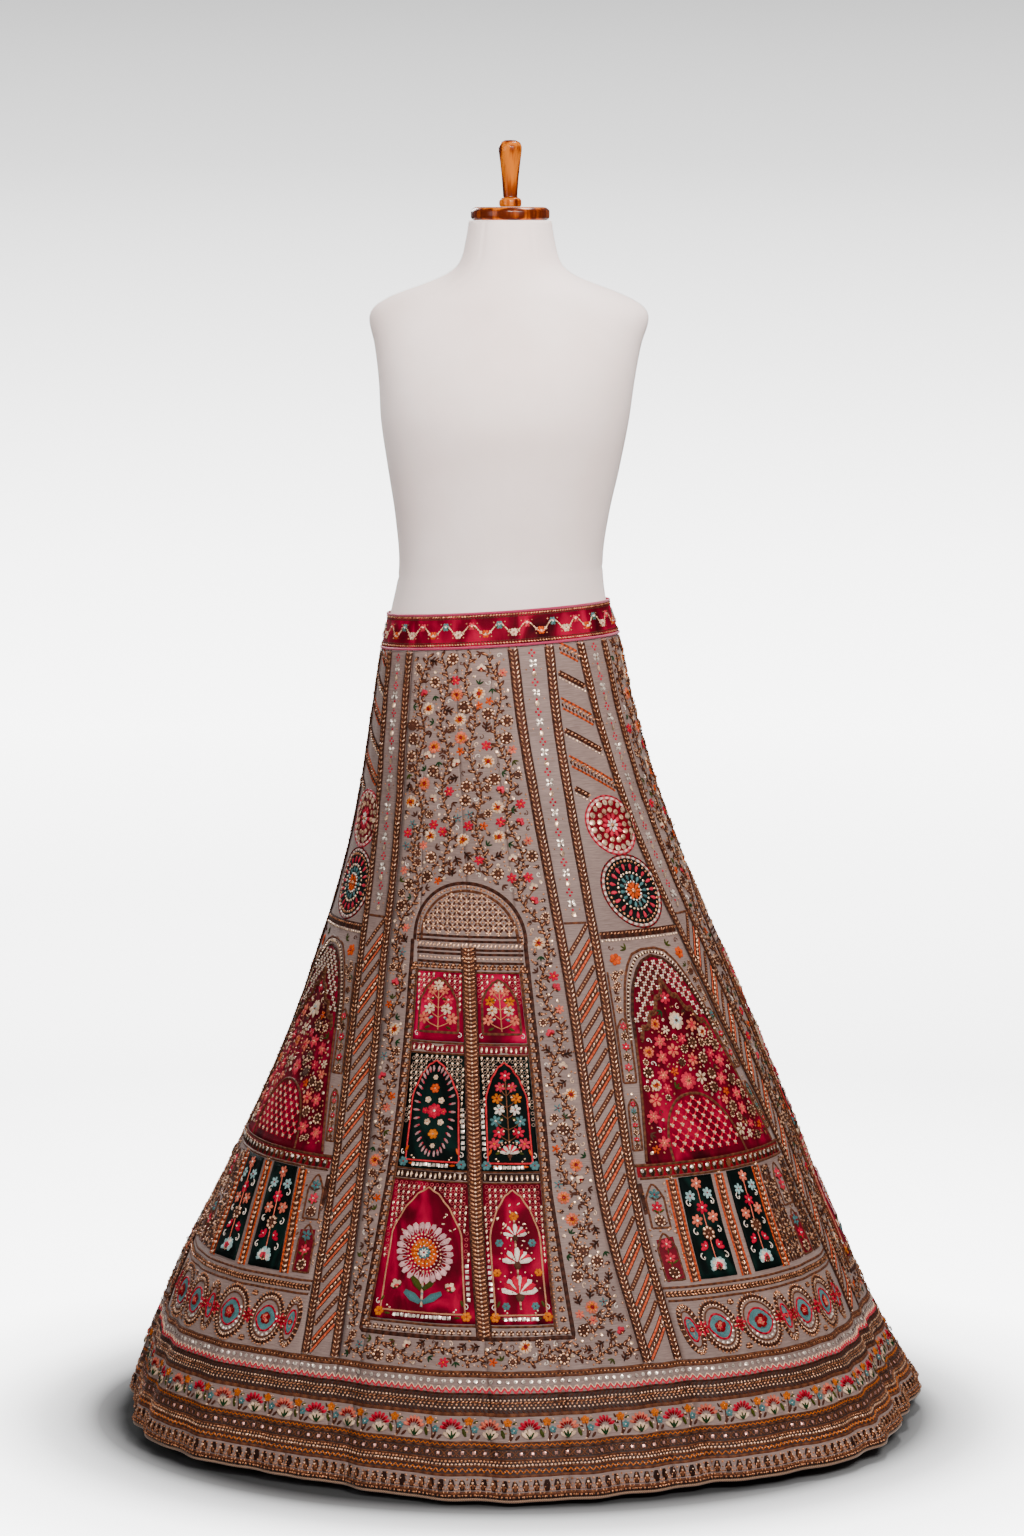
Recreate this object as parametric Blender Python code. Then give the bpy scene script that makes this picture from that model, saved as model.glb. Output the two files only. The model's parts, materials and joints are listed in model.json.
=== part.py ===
"""Lehenga skirt hanging on a limbless dress form, in metres, +Z up, with its front towards -Y.

The skirt has six figured panels round the body: window panels at even places, arch panels at odd ones,
and a straight strip between each two. Every piece of the cloth is cut from one surface, skirt_point.
"""
import math

import bmesh
import bpy
from mathutils import Vector

# ---- driving sizes ------------------------------------------------------------------------------------
GAP = 0.0003            # clear space between two pieces that touch
CLOTH = 0.0016          # wall of embroidered and backed silk
VELVET = 0.0012         # wall of a velvet applique
RAISED = 0.0010         # height of the gold leaf bands and of the hem border over the silk
HEM = 0.010
BORDER_TOP = 0.145
BAND_BOTTOM = 0.992
BAND_TOP = 1.038
PANEL_TOP = BAND_BOTTOM - 0.0008    # a raised strip leans out here, so its outer edge comes up close to the band
STRIP_WIDTH = 0.052
LEAF_BAND = 0.011
PANEL_CENTRES = (0.0, 54.0, 110.0, 180.0, 250.0, 306.0)
PANEL_NAMES = ("front", "right", "back_right", "back", "back_left", "left")
LOBE_SHARE = 0.026      # swell of each panel's soft fold at the hem, as a share of the radius
LOBE_TOP = 0.62
SEAM_DIP = 0.004
SEAM_REACH = 0.018
HEM_RISE = 0.014        # how much higher the hem hangs at the sides
WAIST_TILT = 0.065      # the waistband sits a little higher on its right-hand side
DRAPE_SHIFT = 0.19      # how far an arch panel's pattern slides towards the front, per metre of drop
DRAPE_TOP = 0.45

# height, half width, half depth, shift of the centre in X, turn of the panels in degrees, distance from a
# window panel's centre line to its right and left seam, and the window panels' share of the figured width
SKIRT_SECTIONS = (
    (0.010, 0.510, 0.488, 0.016, 0.0, 0.088, 0.185, 0.540),
    (0.060, 0.489, 0.470, 0.010, 0.1, 0.088, 0.180, 0.535),
    (0.120, 0.465, 0.448, 0.006, 0.0, 0.087, 0.168, 0.527),
    (0.200, 0.431, 0.416, 0.005, -1.0, 0.085, 0.145, 0.517),
    (0.300, 0.383, 0.369, 0.009, -3.4, 0.083, 0.118, 0.514),
    (0.400, 0.338, 0.322, 0.014, -6.0, 0.078, 0.095, 0.532),
    (0.500, 0.295, 0.278, 0.016, -8.5, 0.071, 0.080, 0.573),
    (0.600, 0.256, 0.238, 0.013, -10.6, 0.063, 0.068, 0.619),
    (0.700, 0.219, 0.196, 0.007, -12.7, 0.055, 0.058, 0.665),
    (0.800, 0.189, 0.162, -0.001, -14.7, 0.048, 0.050, 0.711),
    (0.900, 0.166, 0.134, -0.009, -16.7, 0.042, 0.043, 0.757),
    (0.990, 0.149, 0.114, -0.013, -18.2, 0.037, 0.037, 0.798),
    (1.050, 0.134, 0.102, -0.016, -19.2, 0.033, 0.033, 0.822),
)
# height, half width, half depth, shift in X and shift in Y of the dress form
FORM_SECTIONS = (
    (0.797, 0.118, 0.088, -0.005, 0.0),
    (0.800, 0.136, 0.102, -0.005, 0.0),
    (0.812, 0.148, 0.113, -0.005, 0.0),
    (0.850, 0.156, 0.121, -0.007, 0.0),
    (0.900, 0.156, 0.122, -0.010, 0.0),
    (0.950, 0.151, 0.116, -0.012, 0.0),
    (1.090, 0.129, 0.098, -0.012, 0.0),
    (1.150, 0.135, 0.104, -0.010, -0.002),
    (1.210, 0.146, 0.115, -0.008, -0.006),
    (1.270, 0.156, 0.125, -0.006, -0.011),
    (1.320, 0.161, 0.120, -0.004, -0.009),
    (1.365, 0.168, 0.102, -0.003, -0.002),
    (1.398, 0.176, 0.086, -0.002, 0.003),
    (1.414, 0.168, 0.077, -0.002, 0.003),
    (1.428, 0.143, 0.070, -0.002, 0.002),
    (1.441, 0.108, 0.064, -0.001, 0.002),
    (1.453, 0.080, 0.059, -0.001, 0.001),
    (1.468, 0.064, 0.056, 0.0, 0.0),
    (1.495, 0.056, 0.053, 0.0, 0.0),
    (1.5197, 0.052, 0.051, 0.0, 0.0),
)
ROUND = 40              # sides of the form and the waistband

# rows of a panel's outer face: height, and 1.0 where the wall is raised
PANEL_ROWS = (
    (HEM, 1.0),
    (0.075, 1.0),
    (BORDER_TOP - 0.002, 1.0),
    (BORDER_TOP, 0.0),
    (0.203, 0.0),
    (0.280, 0.0),
    (0.359, 0.0),
    (0.372, 0.0),
    (0.438, 0.0),
    (0.504, 0.0),
    (0.520, 0.0),
    (0.600, 0.0),
    (0.680, 0.0),
    (0.760, 0.0),
    (0.840, 0.0),
    (0.915, 0.0),
    (PANEL_TOP, 0.0),
)
INNER_ROWS = (0, 1, 3, 4, 5, 6, 8, 9, 11, 12, 13, 14, 15, 16)

# columns of each kind of panel: share of its width, distance added to it, and 1.0 where it is raised
DIVIDER_HALF = 0.009
WINDOW_MARGIN = 0.003
WINDOW_COLUMNS = (
    (0.0, 0.0, 0.0),
    (0.0, DIVIDER_HALF, 0.0),
    (0.36, 0.0, 0.0),
    (0.68, 0.0, 0.0),
    (1.0, -WINDOW_MARGIN, 0.0),
    (1.0, 0.0, 0.0),
)
SIDE_COLUMNS = tuple((k / 3, 0.0, 0.0) for k in range(4))
ARCH_COLUMNS = tuple((k / 8, 0.0, 0.0) for k in range(9))
STRIP_COLUMNS = (
    (0.0, 0.0, 1.0),
    (0.0, LEAF_BAND, 1.0),
    (0.0, LEAF_BAND + 0.0015, 0.0),
    (0.5, 0.0, 0.0),
    (1.0, -LEAF_BAND - 0.0015, 0.0),
    (1.0, -LEAF_BAND, 1.0),
    (1.0, 0.0, 1.0),
)

# velvet windows on each half of a window panel: first and last row of PANEL_ROWS that they cover
VELVET_WINDOWS = {"crimson": (4, 6), "green": (7, 9), "pink": (10, 11)}
# the crimson velvet arch: share of the panel's half width, height; its right half, from the apex down
ARCH_OUTLINE = (
    (0.00, 0.615), (0.25, 0.610), (0.45, 0.597), (0.60, 0.575), (0.68, 0.550), (0.74, 0.500), (0.88, 0.374),
)
# the tall green velvet windows: distances from the pattern's centre line to their two edges, and height
TALL_OUTLINE = ((0.013, 0.060, 0.357), (0.014, 0.066, 0.240))

COLOURS = {
    "silk": (0.30, 0.25, 0.24, 1.0),
    "crimson": (0.36, 0.01, 0.04, 1.0),
    "pink": (0.55, 0.01, 0.09, 1.0),
    "green": (0.01, 0.03, 0.025, 1.0),
    "piping": (0.55, 0.42, 0.33, 1.0),
    "linen": (0.80, 0.74, 0.70, 1.0),
    "wood": (0.50, 0.23, 0.08, 1.0),
    "steel": (0.45, 0.45, 0.46, 1.0),
}
ROUGHNESS = {"wood": 0.25, "steel": 0.35}


# ---- shape of the skirt -------------------------------------------------------------------------------
def smooth_row(table, height):
    """The table's other columns at a height, on a smooth curve through its rows."""
    last = len(table) - 1
    low = 0
    while low < last - 1 and table[low + 1][0] < height:
        low += 1
    step = table[low + 1][0] - table[low][0]
    u = (height - table[low][0]) / step

    def slope(row, column):
        before, after = max(row - 1, 0), min(row + 1, last)
        return (table[after][column] - table[before][column]) / (table[after][0] - table[before][0])

    values = []
    for column in range(1, len(table[0])):
        start, end = table[low][column], table[low + 1][column]
        values.append(start * (2 * u**3 - 3 * u**2 + 1) + slope(low, column) * step * (u**3 - 2 * u**2 + u)
                      + end * (3 * u**2 - 2 * u**3) + slope(low + 1, column) * step * (u**3 - u**2))
    return values


def mean_radius(height):
    half_width, half_depth = smooth_row(SKIRT_SECTIONS, height)[:2]
    return (half_width + half_depth) / 2


def half_gores(place, height):
    """Widths at a height of the half panel after this centre and of the half panel before the next."""
    following = PANEL_CENTRES[(place + 1) % 6] + (360.0 if place == 5 else 0.0)
    total = math.radians(following - PANEL_CENTRES[place]) * mean_radius(height) - STRIP_WIDTH
    window_share = smooth_row(SKIRT_SECTIONS, height)[6]
    after = window_share if place % 2 == 0 else 1.0 - window_share
    return total * after, total * (1.0 - after)


def seam_distance(place, before, after, height):
    """Distance to the nearest seam, from the distances to the two panel centres on either side."""
    right_half, left_half = half_gores(place, height)
    right_seam, left_seam = smooth_row(SKIRT_SECTIONS, height)[4:6]
    seams = [abs(before - right_half), abs(after - left_half)]
    if place % 2 == 0:
        seams += [before, abs(before - right_seam)]
    else:
        seams += [after, abs(after - left_seam)]
    return min(seams)


def waist_lift(x, height):
    """The tilt of the waist, fading out above and below it."""
    rise = min(max((height - 0.80) / 0.19, 0.0), 1.0)
    fall = min(max((1.20 - height) / 0.15, 0.0), 1.0)
    return WAIST_TILT * x * rise * fall


def skirt_point(angle, height):
    """Middle of the cloth at an angle round the panels (0 at the front panel's centre) and a height."""
    half_width, half_depth, shift, turn = smooth_row(SKIRT_SECTIONS, height)[:4]
    angle = angle % 360.0
    place = max(k for k in range(6) if PANEL_CENTRES[k] <= angle)
    following = PANEL_CENTRES[(place + 1) % 6] + (360.0 if place == 5 else 0.0)
    phase = 2.0 * math.pi * (angle - PANEL_CENTRES[place]) / (following - PANEL_CENTRES[place])
    fade = max(0.0, (LOBE_TOP - height) / LOBE_TOP) ** 1.3
    radius = mean_radius(height)
    before = math.radians(angle - PANEL_CENTRES[place]) * radius
    after = math.radians(following - angle) * radius
    nearest = seam_distance(place, before, after, height)
    swell = 1.0 + LOBE_SHARE * fade * math.cos(phase)
    dip = SEAM_DIP * fade * math.exp(-((nearest / SEAM_REACH) ** 2))
    turned = math.radians(angle + turn)
    x = shift + (half_width * swell - dip) * math.sin(turned)
    y = -(half_depth * swell - dip) * math.cos(turned)
    hem_lift = HEM_RISE * math.sin(turned) ** 2 * max(0.0, (BORDER_TOP - height) / (BORDER_TOP - HEM))
    return Vector((x, y, height + hem_lift + waist_lift(x, height)))


def skirt_normal(angle, height):
    """Unit vector pointing out of the skirt."""
    across = skirt_point(angle + 0.3, height) - skirt_point(angle - 0.3, height)
    up = skirt_point(angle, height + 0.003) - skirt_point(angle, height - 0.003)
    return across.cross(up).normalized()


def panel_edge(place, side, height):
    """Angle of a figured panel's edge against the strip; side is +1 on its right and -1 on its left."""
    if side > 0:
        half = half_gores(place, height)[0]
    else:
        half = half_gores((place - 1) % 6, height)[1]
    return PANEL_CENTRES[place] + side * math.degrees(half / mean_radius(height))


def window_seam(place, side, height):
    right_seam, left_seam = smooth_row(SKIRT_SECTIONS, height)[4:6]
    distance = right_seam if side > 0 else left_seam
    return PANEL_CENTRES[place] + side * math.degrees(distance / mean_radius(height))


# ---- building helpers ---------------------------------------------------------------------------------
def material(name):
    made = bpy.data.materials.get(name)
    if made is None:
        made = bpy.data.materials.new(name)
        made.use_nodes = True
        shader = made.node_tree.nodes["Principled BSDF"]
        shader.inputs["Base Color"].default_value = COLOURS[name]
        shader.inputs["Roughness"].default_value = ROUGHNESS.get(name, 0.8)
        shader.inputs["Metallic"].default_value = 1.0 if name == "steel" else 0.0
    return made


def finish(name, mesh, colour):
    """Turn a bmesh into a named object with its normals pointing out."""
    bmesh.ops.recalc_face_normals(mesh, faces=mesh.faces)
    data = bpy.data.meshes.new(name)
    mesh.to_mesh(data)
    mesh.free()
    data.materials.append(material(colour))
    made = bpy.data.objects.new(name, data)
    bpy.context.scene.collection.objects.link(made)
    return made


def add_grid(mesh, rows):
    """Two triangles over each cell of rows of vertices, parted from its low left to its high right."""
    for low, high in zip(rows, rows[1:]):
        for k in range(len(low) - 1):
            mesh.faces.new((low[k], low[k + 1], high[k + 1]))
            mesh.faces.new((low[k], high[k + 1], high[k]))


def stitch(mesh, outer, inner, marks):
    """Close the rim between an outer chain and a sparser inner one; marks are the outer partners."""
    for k in range(len(inner) - 1):
        first, last = marks[k], marks[k + 1]
        middle = (first + last) // 2
        for j in range(first, middle):
            mesh.faces.new((outer[j], outer[j + 1], inner[k]))
        mesh.faces.new((outer[middle], inner[k + 1], inner[k]))
        for j in range(middle, last):
            mesh.faces.new((outer[j], outer[j + 1], inner[k + 1]))


def column_angles(edges, columns, height):
    """Angles of a panel's columns at a height, inside its two edges."""
    left, right = edges(height)
    per_metre = math.degrees(1.0 / mean_radius(height))
    left += GAP / 2 * per_metre
    right -= GAP / 2 * per_metre
    return [left + share * (right - left) + added * per_metre for share, added, _ in columns]


def panel(name, edges, columns, inner_columns):
    """A cloth wall between two seams: raised outer face over a plain inside."""
    mesh = bmesh.new()
    outer, inner = [], []
    for index, (height, row_raised) in enumerate(PANEL_ROWS):
        angles = column_angles(edges, columns, height)
        line = []
        for angle, (_, _, column_raised) in zip(angles, columns):
            out = CLOTH / 2 + RAISED * max(row_raised, column_raised)
            line.append(mesh.verts.new(skirt_point(angle, height) + skirt_normal(angle, height) * out))
        outer.append(line)
        if index in INNER_ROWS:
            inner.append([mesh.verts.new(skirt_point(angles[k], height)
                                         - skirt_normal(angles[k], height) * CLOTH / 2)
                          for k in inner_columns])
    add_grid(mesh, outer)
    add_grid(mesh, inner)
    for row, inner_row in ((0, 0), (-1, -1)):
        stitch(mesh, outer[row], inner[inner_row], inner_columns)
    for column in (0, -1):
        stitch(mesh, [line[column] for line in outer], [line[column] for line in inner], INNER_ROWS)
    return finish(name, mesh, "silk")


def closed_sheet(name, faces, lower, upper, colour):
    """A thin solid from a flat pattern: each face is a list of keys into lower and upper points."""
    mesh = bmesh.new()
    under = {key: mesh.verts.new(point) for key, point in lower.items()}
    over = {key: mesh.verts.new(point) for key, point in upper.items()}
    rims = {}
    for face in faces:
        mesh.faces.new([over[key] for key in face])
        mesh.faces.new([under[key] for key in reversed(face)])
        for start, end in zip(face, face[1:] + face[:1]):
            rims[(start, end)] = rims.get((start, end), 0) + 1
    for start, end in rims:
        if (end, start) not in rims:
            mesh.faces.new((under[start], under[end], over[end], over[start]))
    return finish(name, mesh, colour)


def velvet_window(name, edges, columns, rows, colour):
    """A velvet rectangle on a window gore, made from the gore's own points, moved out."""
    covered = range(1, len(columns) - 1)
    lower, upper = {}, {}
    for row in range(rows[0], rows[1] + 1):
        height = PANEL_ROWS[row][0]
        angles = column_angles(edges, columns, height)
        for column in covered:
            point = skirt_point(angles[column], height)
            normal = skirt_normal(angles[column], height)
            lower[(row, column)] = point + normal * (CLOTH / 2 + GAP)
            upper[(row, column)] = point + normal * (CLOTH / 2 + GAP + VELVET)
    cells = [(row, k) for row in range(rows[0], rows[1]) for k in covered[:-1]]
    faces = [[(row, k), (row, k + 1), (row + 1, k + 1)] for row, k in cells]
    faces += [[(row, k), (row + 1, k + 1), (row + 1, k)] for row, k in cells]
    return closed_sheet(name, faces, lower, upper, colour)


def cut_pattern(outline, steps, heights):
    """The panel's flat grid of facets, trimmed to a convex outline given clockwise."""
    mesh = bmesh.new()
    add_grid(mesh, [[mesh.verts.new((k / steps, height, 0.0)) for k in range(steps + 1)] for height in heights])
    for start, end in zip(outline, outline[1:] + outline[:1]):
        outward = (start[1] - end[1], end[0] - start[0], 0.0)
        everything = mesh.verts[:] + mesh.edges[:] + mesh.faces[:]
        bmesh.ops.bisect_plane(mesh, geom=everything, plane_co=(*start, 0.0), plane_no=outward,
                               dist=1e-6, clear_outer=True)
    mesh.verts.index_update()
    points = {vertex.index: (vertex.co.x, vertex.co.y) for vertex in mesh.verts}
    faces = [[vertex.index for vertex in face.verts] for face in mesh.faces]
    mesh.free()
    return points, faces


def velvet_patch(name, edges, outline, colour):
    """A velvet shape on an arch gore; the outline is in shares of the gore's width, and heights."""
    heights = [height for height, _ in PANEL_ROWS]
    steps = len(ARCH_COLUMNS) - 1
    points, faces = cut_pattern(outline, steps, heights)
    angles = {height: column_angles(edges, ARCH_COLUMNS, height) for height in heights}

    def on_facet(share, height, out):
        row = max(k for k in range(len(heights) - 1) if heights[k] <= height + 1e-6)
        column = min(int(share * steps + 1e-5), steps - 1)
        u = share * steps - column
        v = (height - heights[row]) / (heights[row + 1] - heights[row])
        if u >= v:
            weights = {(row, column): 1 - u, (row, column + 1): u - v, (row + 1, column + 1): v}
        else:
            weights = {(row, column): 1 - v, (row + 1, column + 1): u, (row + 1, column): v - u}
        point = Vector()
        for (level, across), weight in weights.items():
            corner = angles[heights[level]][across], heights[level]
            point += (skirt_point(*corner) + skirt_normal(*corner) * out) * weight
        return point

    lower = {key: on_facet(*point, CLOTH / 2 + GAP) for key, point in points.items()}
    upper = {key: on_facet(*point, CLOTH / 2 + GAP + VELVET) for key, point in points.items()}
    return closed_sheet(name, faces, lower, upper, colour)


def turned(name, profile, sides, colour):
    """A solid of revolution about Z from (radius, height) points, closed flat at both ends."""
    mesh = bmesh.new()
    rings = []
    for radius, height in profile:
        turns = [2.0 * math.pi * k / sides for k in range(sides)]
        rings.append([mesh.verts.new((radius * math.cos(t), radius * math.sin(t), height)) for t in turns])
    close_rings(mesh, rings)
    return finish(name, mesh, colour)


def close_rings(mesh, rings):
    add_grid(mesh, [ring + ring[:1] for ring in rings])
    mesh.faces.new(rings[0])
    mesh.faces.new(rings[-1])


# ---- cloth panels -------------------------------------------------------------------------------------
def window_panel(place):
    """Both halves of a window panel: a gore with its velvet windows, and a floral side gore."""
    where = PANEL_NAMES[place]
    for side, label in ((1, "right"), (-1, "left")):
        centre = PANEL_CENTRES[place]

        def gore_edges(height):
            return sorted((centre, window_seam(place, side, height)))

        def side_edges(height):
            return sorted((window_seam(place, side, height), panel_edge(place, side, height)))

        columns = WINDOW_COLUMNS
        if side < 0:
            columns = tuple((1.0 - share, -added, up) for share, added, up in reversed(WINDOW_COLUMNS))
        panel(f"window_gore_{where}_{label}", gore_edges, columns, (0, 2 if side > 0 else 3, 5))
        panel(f"floral_gore_{where}_{label}", side_edges, SIDE_COLUMNS, (0, 1, 2, 3))
        for colour, rows in VELVET_WINDOWS.items():
            velvet_window(f"velvet_{colour}_{where}_{label}", gore_edges, columns, rows, colour)


def arch_panel(place):
    """An arch panel in one gore, with its velvet arch and its two tall velvet windows."""
    where = PANEL_NAMES[place]

    def edges(height):
        return panel_edge(place, -1, height), panel_edge(place, 1, height)

    panel(f"arch_gore_{where}", edges, ARCH_COLUMNS, (0, 2, 4, 6, 8))
    right_half = [(0.5 + share / 2, height) for share, height in ARCH_OUTLINE]
    left_half = [(1.0 - across, height) for across, height in right_half[:0:-1]]
    velvet_patch(f"velvet_arch_{where}", edges, right_half + left_half, "crimson")
    slide = {"right": -DRAPE_SHIFT, "left": DRAPE_SHIFT}.get(where, 0.0)
    for side, label in ((1, "right"), (-1, "left")):
        outline = []
        for inner, outer, height in TALL_OUTLINE:
            left, right = edges(height)
            centre = (PANEL_CENTRES[place] - left) / (right - left)
            width = math.radians(right - left) * mean_radius(height)
            shift = slide * (DRAPE_TOP - height)
            outline.append([(centre + (shift + side * edge) / width, height) for edge in (inner, outer)])
        corners = sorted(outline[0]) + sorted(outline[1], reverse=True)
        velvet_patch(f"velvet_tall_{where}_{label}", edges, corners, "green")


def strip(place):
    """The straight strip between two figured panels."""
    following = (place + 1) % 6

    def edges(height):
        right = panel_edge(following, -1, height) + (360.0 if following == 0 else 0.0)
        return panel_edge(place, 1, height), right

    panel(f"stripe_strip_{PANEL_NAMES[place]}_to_{PANEL_NAMES[following]}", edges, STRIP_COLUMNS, (0, 3, 6))


# ---- waistband and hem piping -------------------------------------------------------------------------
BAND_OPEN_AT = 180.0    # the band's ends meet at the middle of the back
# the band's cross-section: distance up from its lower edge, distance out from the middle of the cloth
BAND_PROFILE = (
    (0.000, -CLOTH / 2), (0.000, 0.0026), (0.004, 0.0026), (0.005, 0.0018), (0.041, 0.0018),
    (0.042, 0.0026), (0.046, 0.0026), (0.046, -CLOTH / 2),
)


def body_point(turn, height, out):
    """A point on the skirt's plain section at an angle round the body, moved out level."""
    half_width, half_depth, shift = smooth_row(SKIRT_SECTIONS, height)[:3]
    x = shift + (half_width + out) * math.sin(turn)
    y = -(half_depth + out) * math.cos(turn)
    return Vector((x, y, height + waist_lift(x, height)))


def waistband():
    mesh = bmesh.new()
    rings = []
    half_slit = GAP / 0.11
    for k in range(ROUND + 1):
        turn = math.radians(BAND_OPEN_AT) + 2.0 * math.pi * k / ROUND
        turn += half_slit if k == 0 else -half_slit if k == ROUND else 0.0
        rings.append([mesh.verts.new(body_point(turn, BAND_BOTTOM + up, out)) for up, out in BAND_PROFILE])
    close_rings(mesh, rings)
    finish("waistband", mesh, "crimson")


def hem_piping():
    """A covered cord under the hem, all round."""
    radius, sides, steps = 0.0018, 6, 72
    mesh = bmesh.new()
    rings = []
    for k in range(steps):
        angle = 360.0 * k / steps
        middle = skirt_point(angle, HEM) - Vector((0.0, 0.0, radius + GAP))
        out = skirt_normal(angle, HEM + 0.004)
        out.z = 0.0
        out.normalize()
        ring = []
        for j in range(sides):
            t = 2.0 * math.pi * j / sides
            ring.append(mesh.verts.new(middle + out * radius * math.cos(t) + Vector((0, 0, radius * math.sin(t)))))
        rings.append(ring)
    add_grid(mesh, [ring + ring[:1] for ring in rings + rings[:1]])
    finish("hem_piping", mesh, "piping")


# ---- dress form and stand -----------------------------------------------------------------------------
CAP_BOTTOM = 1.520
CAP_TOP = 1.5365
FINIAL_TOP = 1.620
POLE_RADIUS = 0.016
BASE_RADIUS = 0.170
HUB_TOP = 0.045


def dress_form():
    """The torso follows its sections, and at the waist it fits the inside of the band."""
    snug = CLOTH / 2 + GAP
    rows = list(FORM_SECTIONS)
    for height, clear in ((BAND_BOTTOM, snug + 0.0018), (BAND_BOTTOM + 0.004, snug), (BAND_TOP, snug)):
        half_width, half_depth, shift = smooth_row(SKIRT_SECTIONS, height)[:3]
        rows.append((height, half_width - clear, half_depth - clear, shift, 0.0))
    mesh = bmesh.new()
    rings = []
    for height, half_width, half_depth, shift_x, shift_y in sorted(rows):
        ring = []
        for k in range(ROUND):
            turn = 2.0 * math.pi * k / ROUND
            x = shift_x + half_width * math.sin(turn)
            y = shift_y - half_depth * math.cos(turn)
            ring.append(mesh.verts.new((x, y, height + waist_lift(x, height))))
        rings.append(ring)
    close_rings(mesh, rings)
    finish("dress_form", mesh, "linen")


def stand():
    turned("neck_cap", [(0.046, CAP_BOTTOM), (0.0495, CAP_BOTTOM + 0.003), (0.0495, CAP_TOP - 0.004),
                        (0.046, CAP_TOP - 0.001), (0.043, CAP_TOP)], 48, "wood")
    foot = CAP_TOP + GAP
    turned("finial", [(0.0130, foot), (0.0140, foot + 0.002), (0.0140, foot + 0.008), (0.0125, foot + 0.0105),
                      (0.0090, foot + 0.0115), (0.0100, foot + 0.030), (0.0128, foot + 0.056),
                      (0.0146, foot + 0.070), (0.0146, foot + 0.075), (0.0125, foot + 0.080),
                      (0.0070, FINIAL_TOP)], 24, "wood")
    turned("pole", [(POLE_RADIUS, HUB_TOP + GAP), (POLE_RADIUS, FORM_SECTIONS[0][0] - GAP)], 24, "steel")
    turned("base", [(BASE_RADIUS - 0.003, 0.0), (BASE_RADIUS, 0.003), (BASE_RADIUS, 0.014),
                    (BASE_RADIUS - 0.008, 0.020), (0.034, 0.024), (0.028, 0.030), (0.026, HUB_TOP)], 48, "steel")


for old in list(bpy.data.objects):
    bpy.data.objects.remove(old)
for number in range(6):
    if number % 2 == 0:
        window_panel(number)
    else:
        arch_panel(number)
    strip(number)
waistband()
hem_piping()
dress_form()
stand()
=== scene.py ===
"""A lehenga skirt on a dress form: stand and form, silk gores and strips, velvet windows and arches,
waistband, hem piping, and the embroidery that is sewn on them."""
import json
import math

import bpy
import numpy as np
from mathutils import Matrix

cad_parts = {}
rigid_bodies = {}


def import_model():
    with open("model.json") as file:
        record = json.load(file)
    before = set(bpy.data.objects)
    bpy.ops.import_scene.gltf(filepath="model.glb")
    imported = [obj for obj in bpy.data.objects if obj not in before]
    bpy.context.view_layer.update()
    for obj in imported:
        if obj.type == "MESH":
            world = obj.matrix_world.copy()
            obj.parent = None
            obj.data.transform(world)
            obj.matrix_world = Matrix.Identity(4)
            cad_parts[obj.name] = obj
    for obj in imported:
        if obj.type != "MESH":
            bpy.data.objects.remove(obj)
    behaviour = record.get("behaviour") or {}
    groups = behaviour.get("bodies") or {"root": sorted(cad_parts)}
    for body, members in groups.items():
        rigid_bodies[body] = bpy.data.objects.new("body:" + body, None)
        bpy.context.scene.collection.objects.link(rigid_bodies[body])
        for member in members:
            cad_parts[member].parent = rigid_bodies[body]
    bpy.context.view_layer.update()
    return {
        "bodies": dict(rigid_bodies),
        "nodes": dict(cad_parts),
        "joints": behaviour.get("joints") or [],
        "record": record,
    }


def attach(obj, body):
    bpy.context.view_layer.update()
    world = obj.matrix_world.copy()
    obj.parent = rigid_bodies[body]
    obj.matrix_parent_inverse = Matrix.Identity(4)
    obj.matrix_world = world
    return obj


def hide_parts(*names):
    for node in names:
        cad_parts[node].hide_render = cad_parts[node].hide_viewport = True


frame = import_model()

# ---- Studio -------------------------------------------------------------------------------------------
# A pale floor inside a wide ring of backdrop paper, both glowing as painted light, with a painted soft
# shadow on the floor round the hem; one broad soft lamp in front, weaker ones from the left, above and
# behind, a spot on the bust, and a camera above chest height a few metres in front.
CAMERA_TURN = math.radians(4.0)
CAMERA_AWAY = 6.3
CAMERA_HEIGHT = 1.52
CAMERA_LENS = 78.03
AIM_HEIGHT = 0.829
AIM_SIDE = 0.0022
camera_data = bpy.data.cameras.new("camera")
camera_data.sensor_fit = "VERTICAL"
camera_data.sensor_height = 24.0
camera_data.lens = CAMERA_LENS
camera = bpy.data.objects.new("camera", camera_data)
bpy.context.scene.collection.objects.link(camera)
bpy.context.scene.camera = camera
aim_x, aim_y = AIM_SIDE * math.cos(CAMERA_TURN), AIM_SIDE * math.sin(CAMERA_TURN)
camera.location = (math.sin(CAMERA_TURN) * CAMERA_AWAY, -math.cos(CAMERA_TURN) * CAMERA_AWAY, CAMERA_HEIGHT)
tilt = math.atan2(AIM_HEIGHT - CAMERA_HEIGHT, CAMERA_AWAY)
heading = math.atan2(-(aim_x - camera.location.x), aim_y - camera.location.y)
camera.rotation_euler = (math.pi / 2 + tilt, 0.0, heading)

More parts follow.
